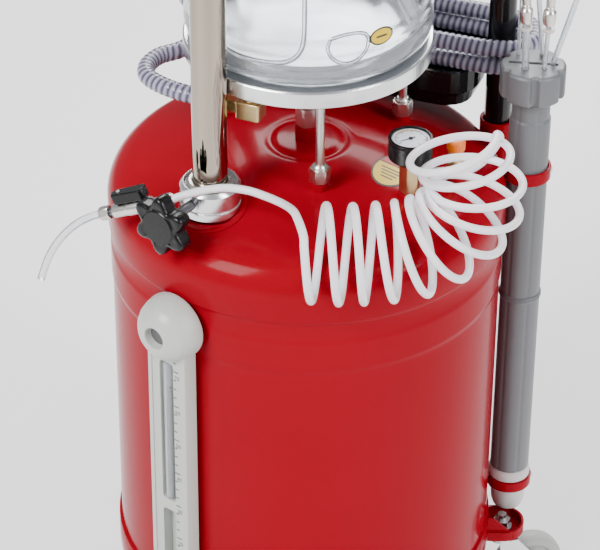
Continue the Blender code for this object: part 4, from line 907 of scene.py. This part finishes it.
def make_jar():
    """A thick clear moulding: rounded foot, two shoulder rings, broad vertical panels and a dimple."""
    base = PLATE_HIGH + GAP
    profile = [(r, base + z) for r, z in mm((96, 0), (107, 0), (115, 4), (120.5, 11), (122.2, 18))]
    for k in range(40):
        z = base + 0.0220 + (JAR_HIGH - base - 0.0220) * k / 39
        rings = sum(exp(-(((z - base - middle_z) / 0.0030) ** 2)) for middle_z in (0.0330, 0.0480))
        profile.append((JAR_RADIUS - 0.0002 - 0.0016 * rings, z))
    profile.append((0.1160, JAR_HIGH))
    profile += [(r, base + z) for r, z in mm((116, 60), (115, 42), (116.5, 30), (112.5, 14), (105, 8), (96, 7))]
    bm = bmesh.new()
    loops = []
    for radius, height in profile:
        share = min(1.0, max(0.0, (height - base - 0.055) / 0.03))
        loop = []
        for a in circle(180):
            panel = 0.5 + 0.5 * cos(6 * a + 0.8)
            dent = 0.0030 * share * (1 / (1 + exp(-14 * (panel - 0.62))))
            reach = radius - dent - abs(0.0007 * sin(5 * a + 26 * height) * share)
            loop.append(bm.verts.new((reach * cos(a), reach * sin(a), height)))
        loops.append(loop)
    skin(bm, loops, True)
    stand_for(finish(bm, "chamber_shell", CLEAR, Matrix.Translation(above(AXIS, 0)), angle=50),
              "clear_plastic", "chamber_jar")
    turned("chamber_gasket", ring(100, 116.8, 0, 2.6), DIAL, above(AXIS, base + 0.0085), sides=120)
    panel_route = [(-43, 0.438), (-43, 0.340), (-43, 0.275), (-41, 0.254), (-34, 0.242), (-20, 0.2395), (-5, 0.242),
                   (2, 0.254), (4, 0.275), (4, 0.340), (4, 0.438)]
    dimple_route = [(16, 0.268), (24, 0.271), (32, 0.268), (33.5, 0.256), (30, 0.244), (24, 0.2395), (18, 0.244),
                    (14.5, 0.256), (15.6, 0.267)]
    for name, route, thick in (("jar_panel_bead", panel_route, 0.0024), ("jar_dimple_bead", dimple_route, 0.0020)):
        places = smooth_points([plan(radians(turn), JAR_RADIUS - 0.0020, SEAM + z) for turn, z in route], 0.003)
        swept(name, places, lambda walked, angle, thick=thick: thick, CLEAR, 16)

    def surface(x, y, lift):
        return plan(radians(40) + x / JAR_RADIUS, JAR_RADIUS + 0.0001 + lift, SEAM + 0.262 + y)

    oval = [(0.0135 * cos(a), 0.0095 * sin(a)) for a in circle(40)]
    flat_sign("jar_mark_edge", oval, INK, 0.0001, surface)
    flat_sign("jar_mark", [(x * 0.86, y * 0.82) for x, y in oval], MARK_YELLOW, 0.0003, surface)
    flat_sign("jar_mark_bar", mm((-6, -1), (6, -1), (6, 1), (-6, 1)), INK, 0.0005, surface)


def make_transfer_valve():
    root = on_crown(0, 0, 0.0160)
    top = 1000 * (SEAM + PLATE_LOW - root.z) - 0.3
    hexagon("transfer_hex", 0.0212, 0, 0.0205, NICKEL, root, phase=0.2)
    stand_for(turned("transfer_body", mm((0, 20.5), (10.7, 20.5), (10.7, 30), (14.5, 38), (14.5, 54), (10.7, 62),
                                         (10.7, top), (0, top)), NICKEL, root, soft=0.0015),
              "nickel", "transfer_valve_body")
    centre = root + UP * 0.046
    aim = facing(TRANSFER_TURN + pi / 2)
    turned("transfer_spindle", rod(5.5, 0, 18.8), NICKEL, centre, aim, 32)
    outline = mm((-7, -5.5), (10, -6), (44, -4.8), (48, -2), (48, 2), (44, 4.8), (10, 6), (-7, 5.5))
    stand = axes(facing(TRANSFER_TURN), -UP, aim, centre + aim * 0.0193)
    stand_for(slab("transfer_arm", outline, 0, 0.0025, DARK_REFLECTION_CHROME, stand, "transfer_lever"),
              "chrome", "transfer_valve_lever")


def make_elbow():
    place = at(-0.046, -0.090, 0.1715)
    towards = Vector((-0.9588, 0.2841, 0))
    stand_for(slab("elbow_block", rounded_box(0.0125, 0.0100, 0.0025), -0.0095, 0.0095, BRASS,
                   axes(towards, UP.cross(towards), UP, place), bevel=0.0012), "brass", "suction_elbow")
    turned("elbow_riser", rod(8, 9.4, 21.2), BRASS, place, sides=40)
    hexagon("elbow_nut", 0.0172, 0.0127, 0.0245, BRASS, place, towards)
    turned("elbow_nipple", rod(6.5, 24.5, 44), BRASS, place, towards, 40)
    stand_for(turned("elbow_ferrule", ring(6, 10.5, 44.3, 53), BRASS, place, towards, 56), "brass", "suction_ferrule")


# ---- probe holder -------------------------------------------------------------------------
# name, place in the cap, radius in millimetres, lean, depth and rise in millimetres, whether it has a fitting
PROBES = [
    ("probe_wide", (-0.0080, -0.0105), 3.7, (-0.030, 0.0), 400, 52, True),
    ("probe_narrow", (0.0110, -0.0100), 2.4, (0.030, -0.030), 380, 52, True),
    ("probe_thin_back", (-0.0160, 0.0150), 1.8, (0.0, 0.020), 28, 95, False),
    ("probe_straight_back", (0.0080, 0.0170), 2.6, (-0.110, 0.030), 28, 105, False),
    ("probe_leaning", (0.0190, 0.0010), 3.0, (0.260, 0.0), 110, 110, False),
]
CAP_LOW = 0.1295
CAP_HIGH = 0.1635


def make_holder():
    base = above(HOLDER, 0)
    top = above(HOLDER, CAP_HIGH)

    def notched(turn):
        nearest = min(abs((turn - radians(60 * k - 85) + pi) % (2 * pi) - pi) for k in range(6))
        return 1 - 0.13 * max(0.0, 1 - (nearest / 0.15) ** 2) ** 0.7

    def fluted(turn):
        return 1 - 0.030 * max(0.0, cos(6 * turn + 0.5)) ** 6

    cap = turned("holder_cap", mm((17, 0), (31.2, 0), (33, 2.2), (33, 31.4), (30.5, 34), (0, 34), (0, 4), (17, 4)),
                 GREY, above(HOLDER, CAP_LOW), sides=216, shape=notched, soft=0.0009)
    cutters = [slab("slot_cutter", rounded_box(0.0250, 0.0022, 0.0015), -0.008, 0.01, GREY,
                    Matrix.Translation(top), bevel=0)]
    for _, (x, y), radius, lean, depth, _, _ in PROBES:
        cutters.append(turned("hole_cutter", rod(radius + 0.6, -min(depth, 45) - 1, 10), GREY,
                              top + Vector((x, y, 0)), Vector((*lean, 1)).normalized(), 20, soft=0))
    carve(cap, cutters)
    stand_for(cap, "grey_plastic", "probe_holder_cap")
    stand_for(turned("holder_tube", mm((17.8, 129.2), (19.6, 129.2), (19.6, 104.5), (20.6, 102.5), (21, 100),
                                       (21, -340), (17.8, -340)), GREY, base, sides=144, shape=fluted),
              "grey_plastic", "probe_holder_tube")
    turned("holder_joint", mm((20.5, -116), (21.6, -115.4), (22.4, -113.4), (21.6, -112), (22.4, -110.6),
                              (21.6, -108.6), (20.5, -108)), GREY, base, sides=96, soft=0.0003)
    turned("holder_flange", mm((17.8, -353), (22.5, -353), (22.5, -345), (21.2, -340.5), (17.8, -340.5)), WHITE,
           base, sides=96)
    stand_for(turned("drip_cup_shell", mm(
        (0, -398), (12, -397.5), (16, -394.5), (18, -388), (18.7, -380), (19, -366), (17.6, -366), (17.2, -381),
        (15.8, -390), (12.5, -395), (0, -396)), WHITE, base, sides=96), "white_plastic", "drip_cup")
    inward = AXIS - HOLDER
    reach = inward.length - HEAD_RADIUS - 0.0005
    inward.normalize()
    arm = [(0.0225, -0.0135), (reach, -0.0150), (reach, 0.0150), (0.0225, 0.0135)]
    arm_frame = axes(inward, UP.cross(inward), UP, base)
    bolt = mm((0, 0), (3.8, 0), (3.8, 1.6), (2.2, 2.6), (0, 2.8))
    for name, foot, head, bore in (("upper_strap", 32, 45.5, 21.4), ("lower_strap", -365.5, -353.5, 20.5)):
        stand_for(turned(f"{name}_ring", ring(bore, 24.3, foot, head), RED, base, sides=96, soft=0.0008),
                  "red_paint", name)
        slab(f"{name}_arm", arm, (foot + 1) / 1000, (head - 1) / 1000, RED, arm_frame, bevel=0.0010)
        turned(f"{name}_bolt", bolt, ZINC, base - inward * 0.0232 + UP * ((foot + head) / 2000), -inward, 32,
               soft=0.0003)


def make_probes():
    for name, (x, y), radius, lean, depth, rise, fitted in PROBES:
        top = above(HOLDER, CAP_HIGH) + Vector((x, y, 0))
        aim = Vector((*lean, 1)).normalized()
        stand_for(turned(f"{name}_tube", ring(radius * 0.62, radius, -depth, rise), CLEAR_TUBE, top, aim, 40, name,
                         0.0003), "clear_plastic", name)
        if fitted:
            low, high = rise - 8, rise - 4.5
            turned(f"{name}_washer", mm((radius + 0.3, low), (6.4, low), (6.8, high), (radius + 0.3, high)), WHITE,
                   top, aim, 40, name)
            turned(f"{name}_fitting", mm(
                (0, 0.2), (6, 0.2), (6.6, 4), (6.6, 14), (4.5, 17), (4.5, 19.5), (3.8, 20.5), (4.5, 21.5), (4.5, 30),
                (0, 30)), NICKEL, top + aim * (rise / 1000), aim, 40, name)


# ---- handle, wheels and bowl --------------------------------------------------------------
def make_handle():
    side = mm((153.5, 156.2, 450), (153.5, 156.2, 610), (153.5, 156.2, 780), (153.5, 161, 820), (153.5, 178, 865),
              (153.5, 203, 910), (150.5, 223, 938), (135.5, 236, 955), (108.5, 242, 963), (60, 243, 964))
    route = [HANDLE_FRAME @ Vector(p) for p in side + [(-x, y, z) for x, y, z in reversed(side)]]
    stand_for(wire("handle_tube", smooth_points(route, 0.006), 0.014, BLACK_PAINT, 8), "black_paint", "push_handle")


def make_wheels():
    """Grey moulded wheels with a rounded tread and a recessed hub."""
    half = mm((7.5, -9), (13, -9), (14, -5.5), (27, -5.5), (29, -9.6), (35, -10), (38.5, -8.2), (40, -3.5))
    profile = half + [(r, -z) for r, z in reversed(half)]
    for k in (1, 2, 3):
        low, high = (Vector(c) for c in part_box(f"caster_wheel_{k}"))
        axle = next(Vector(j["axis"]) for j in frame["joints"] if j["child"] == f"wheel_{k}").normalized()
        stand_for(turned(f"wheel_{k}_tread", profile, WHEEL, (low + high) / 2, axle, 120, f"wheel_{k}", 0.0008),
                  "wheel_grey", f"caster_wheel_{k}")


def make_bowl():
    """A spun red bowl with a rolled rim, on the valve's neck."""
    stand_for(turned("bowl_shell", mm(
        (10, 1210.3), (16, 1210.3), (16, 1232), (20, 1236.5), (50, 1248), (120, 1268), (190, 1288), (204, 1295),
        (211, 1306), (214, 1320), (215, 1340), (216.5, 1343), (220.5, 1343.4), (220.8, 1344.6), (216, 1345),
        (213.6, 1344), (213.08, 1320), (209.18, 1307.5), (202.68, 1297.5), (188.88, 1290), (119.18, 1270),
        (49.68, 1250), (17.68, 1238.5), (9.68, 1234)), RED, MAST, sides=200, body="bowl", soft=0.0008),
        "red_paint", "drain_bowl")


# ---- lid fittings and the bowl's valve ----------------------------------------------------
def make_vacuum_gauge():
    foot = LID_HIGH + 0.0306
    hexagon("vacuum_stem", 0.0112, 0.0002, 0.0280, NICKEL, at(0, 0, foot))
    centre = at(0, 0.010, foot + 0.052)
    stand_for(turned("vacuum_case", mm((0, 0), (29, 0), (31.5, 3), (31.5, 24), (34, 25), (34, 29), (31.5, 30),
                                       (30, 29.8), (29, 27.5), (0, 27.5)), BLACK, centre, FORWARD, 96),
              "black_plastic", "vacuum_gauge")
    turned("vacuum_dial", rod(28.6, 27.5, 28.1), DIAL, centre, FORWARD, 72, soft=0.0001)
    face = axes(RIGHTWARD, UP, FORWARD, centre)
    dial_ticks("vacuum_tick", 21, (0.0195, 0.0218), 0.0245, (0.0005, 0.0003), (0.0280, 0.02825), face)
    needle = mm((-6.8, -7.5), (15, 13.9), (13.9, 15), (-7.5, -6.8))
    slab("vacuum_needle", needle, 0.0286, 0.0290, MARK_RED, face, bevel=0)
    turned("vacuum_hub", mm((0, 28.1), (3, 28.1), (2.8, 29.4), (0, 29.7)), INK, centre, FORWARD, 32, soft=0.0002)


def make_ejector():
    side = at(0.0253, 0, LID_HIGH + 0.0153)
    stand_for(turned("ejector_barrel", mm(
        (0, 0), (8, 0), (8, 10), (12, 11.5), (12.5, 13), (12.5, 45.5), (11, 47), (9.5, 48), (9.5, 56), (11.8, 57),
        (11.8, 60), (11.8, 86), (10.5, 91), (8, 91), (8, 89), (0, 89)), BRASS, side, RIGHTWARD, 96),
        "brass", "vacuum_ejector")
    turned("ejector_knurl", ring(10, 12.6, 60, 84), BRASS, side, RIGHTWARD, 144, soft=0.0003,
           shape=lambda a: 1 + 0.02 * cos(36 * a))


def make_bowl_valve():
    base = MAST + UP * 1.1303
    hexagon("bowl_valve_foot", 0.0388, 0.0, 0.0200, NICKEL, base, body="mast")
    stand_for(turned("bowl_valve_shell", mm((0, 20), (19, 20), (19, 22.5), (22.5, 26.5), (24.5, 31), (24.5, 49),
                                            (22.5, 54), (19, 58), (0, 58)), NICKEL, base, sides=96, body="mast",
                     soft=0.0010), "nickel", "bowl_valve_body")
    hexagon("bowl_valve_head", 0.0388, 0.0580, 0.0797, NICKEL, base, body="mast")
    turned("bowl_valve_spindle", mm((0, 20), (8.5, 20), (8.5, 26.5), (6, 27), (6, 30.8), (0, 30.8)), NICKEL,
           base + UP * 0.0397, FORWARD, 48, "mast")


for make in (make_coil, make_hose, make_tank, make_mast, make_knob, make_pressure_gauge, make_safety_valve,
             make_sign, make_level_gauge, make_chamber, make_jar, make_transfer_valve, make_elbow, make_holder,
             make_probes, make_handle, make_wheels, make_bowl, make_vacuum_gauge, make_ejector, make_bowl_valve):
    make()


# ---- the CAD parts that stay, with their finishes -----------------------------------------
FINISHES = {made.name.removesuffix("_finish"): made for made in (
    RED, DARK_REFLECTION_CHROME, ALUMINIUM, NICKEL, BRASS, BLACK, BLACK_PAINT, GREY, PALE, WHITE, CLEAR, AMBER, MILK, HOSE, WHEEL,
    ZINC)}
for part in frame["nodes"].values():
    for place in part.material_slots:
        place.material = FINISHES[place.material.name.split(".")[0]]
    if not part.hide_render:
        add_bevel(part, 0.0007, 2, 40)


# ---- floor and light ----------------------------------------------------------------------
def make_stage():
    bpy.ops.mesh.primitive_plane_add(size=14, location=(0, 0, -0.0005))
    floor = bpy.context.object
    floor.name = "floor"
    floor.data.materials.append(look("floor_white", (0.93, 0.93, 0.93), 0.75, 0, 0.004, 2, 0.01, 40))
    floor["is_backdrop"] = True
    world = bpy.data.worlds.new("studio")
    world.use_nodes = True
    world.node_tree.nodes["Background"].inputs["Color"].default_value = (0.95, 0.96, 1.0, 1)
    world.node_tree.nodes["Background"].inputs["Strength"].default_value = 0.50
    bpy.context.scene.world = world


def softbox(name, place, target, size, power):
    data = bpy.data.lights.new(name, "AREA")
    data.shape = "RECTANGLE"
    data.size, data.size_y = size
    data.energy = power
    lamp = bpy.data.objects.new(name, data)
    bpy.context.collection.objects.link(lamp)
    aim = Vector(target) - Vector(place)
    lamp.matrix_world = Matrix.Translation(Vector(place)) @ aim.to_track_quat("-Z", "Y").to_matrix().to_4x4()


make_stage()
softbox("key", (-1.6, -1.9, 2.6), (0, 0, 0.55), (1.1, 1.6), 150)
softbox("fill", (2.3, -1.2, 1.9), (0, 0, 0.55), (0.8, 1.8), 72)
softbox("back", (0.3, 2.2, 2.4), (0, 0, 0.7), (2.2, 1.0), 125)

visual_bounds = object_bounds()
plain = [[[round(v, 5) for v in corner] for corner in box] for box in (cad_bounds, visual_bounds)]
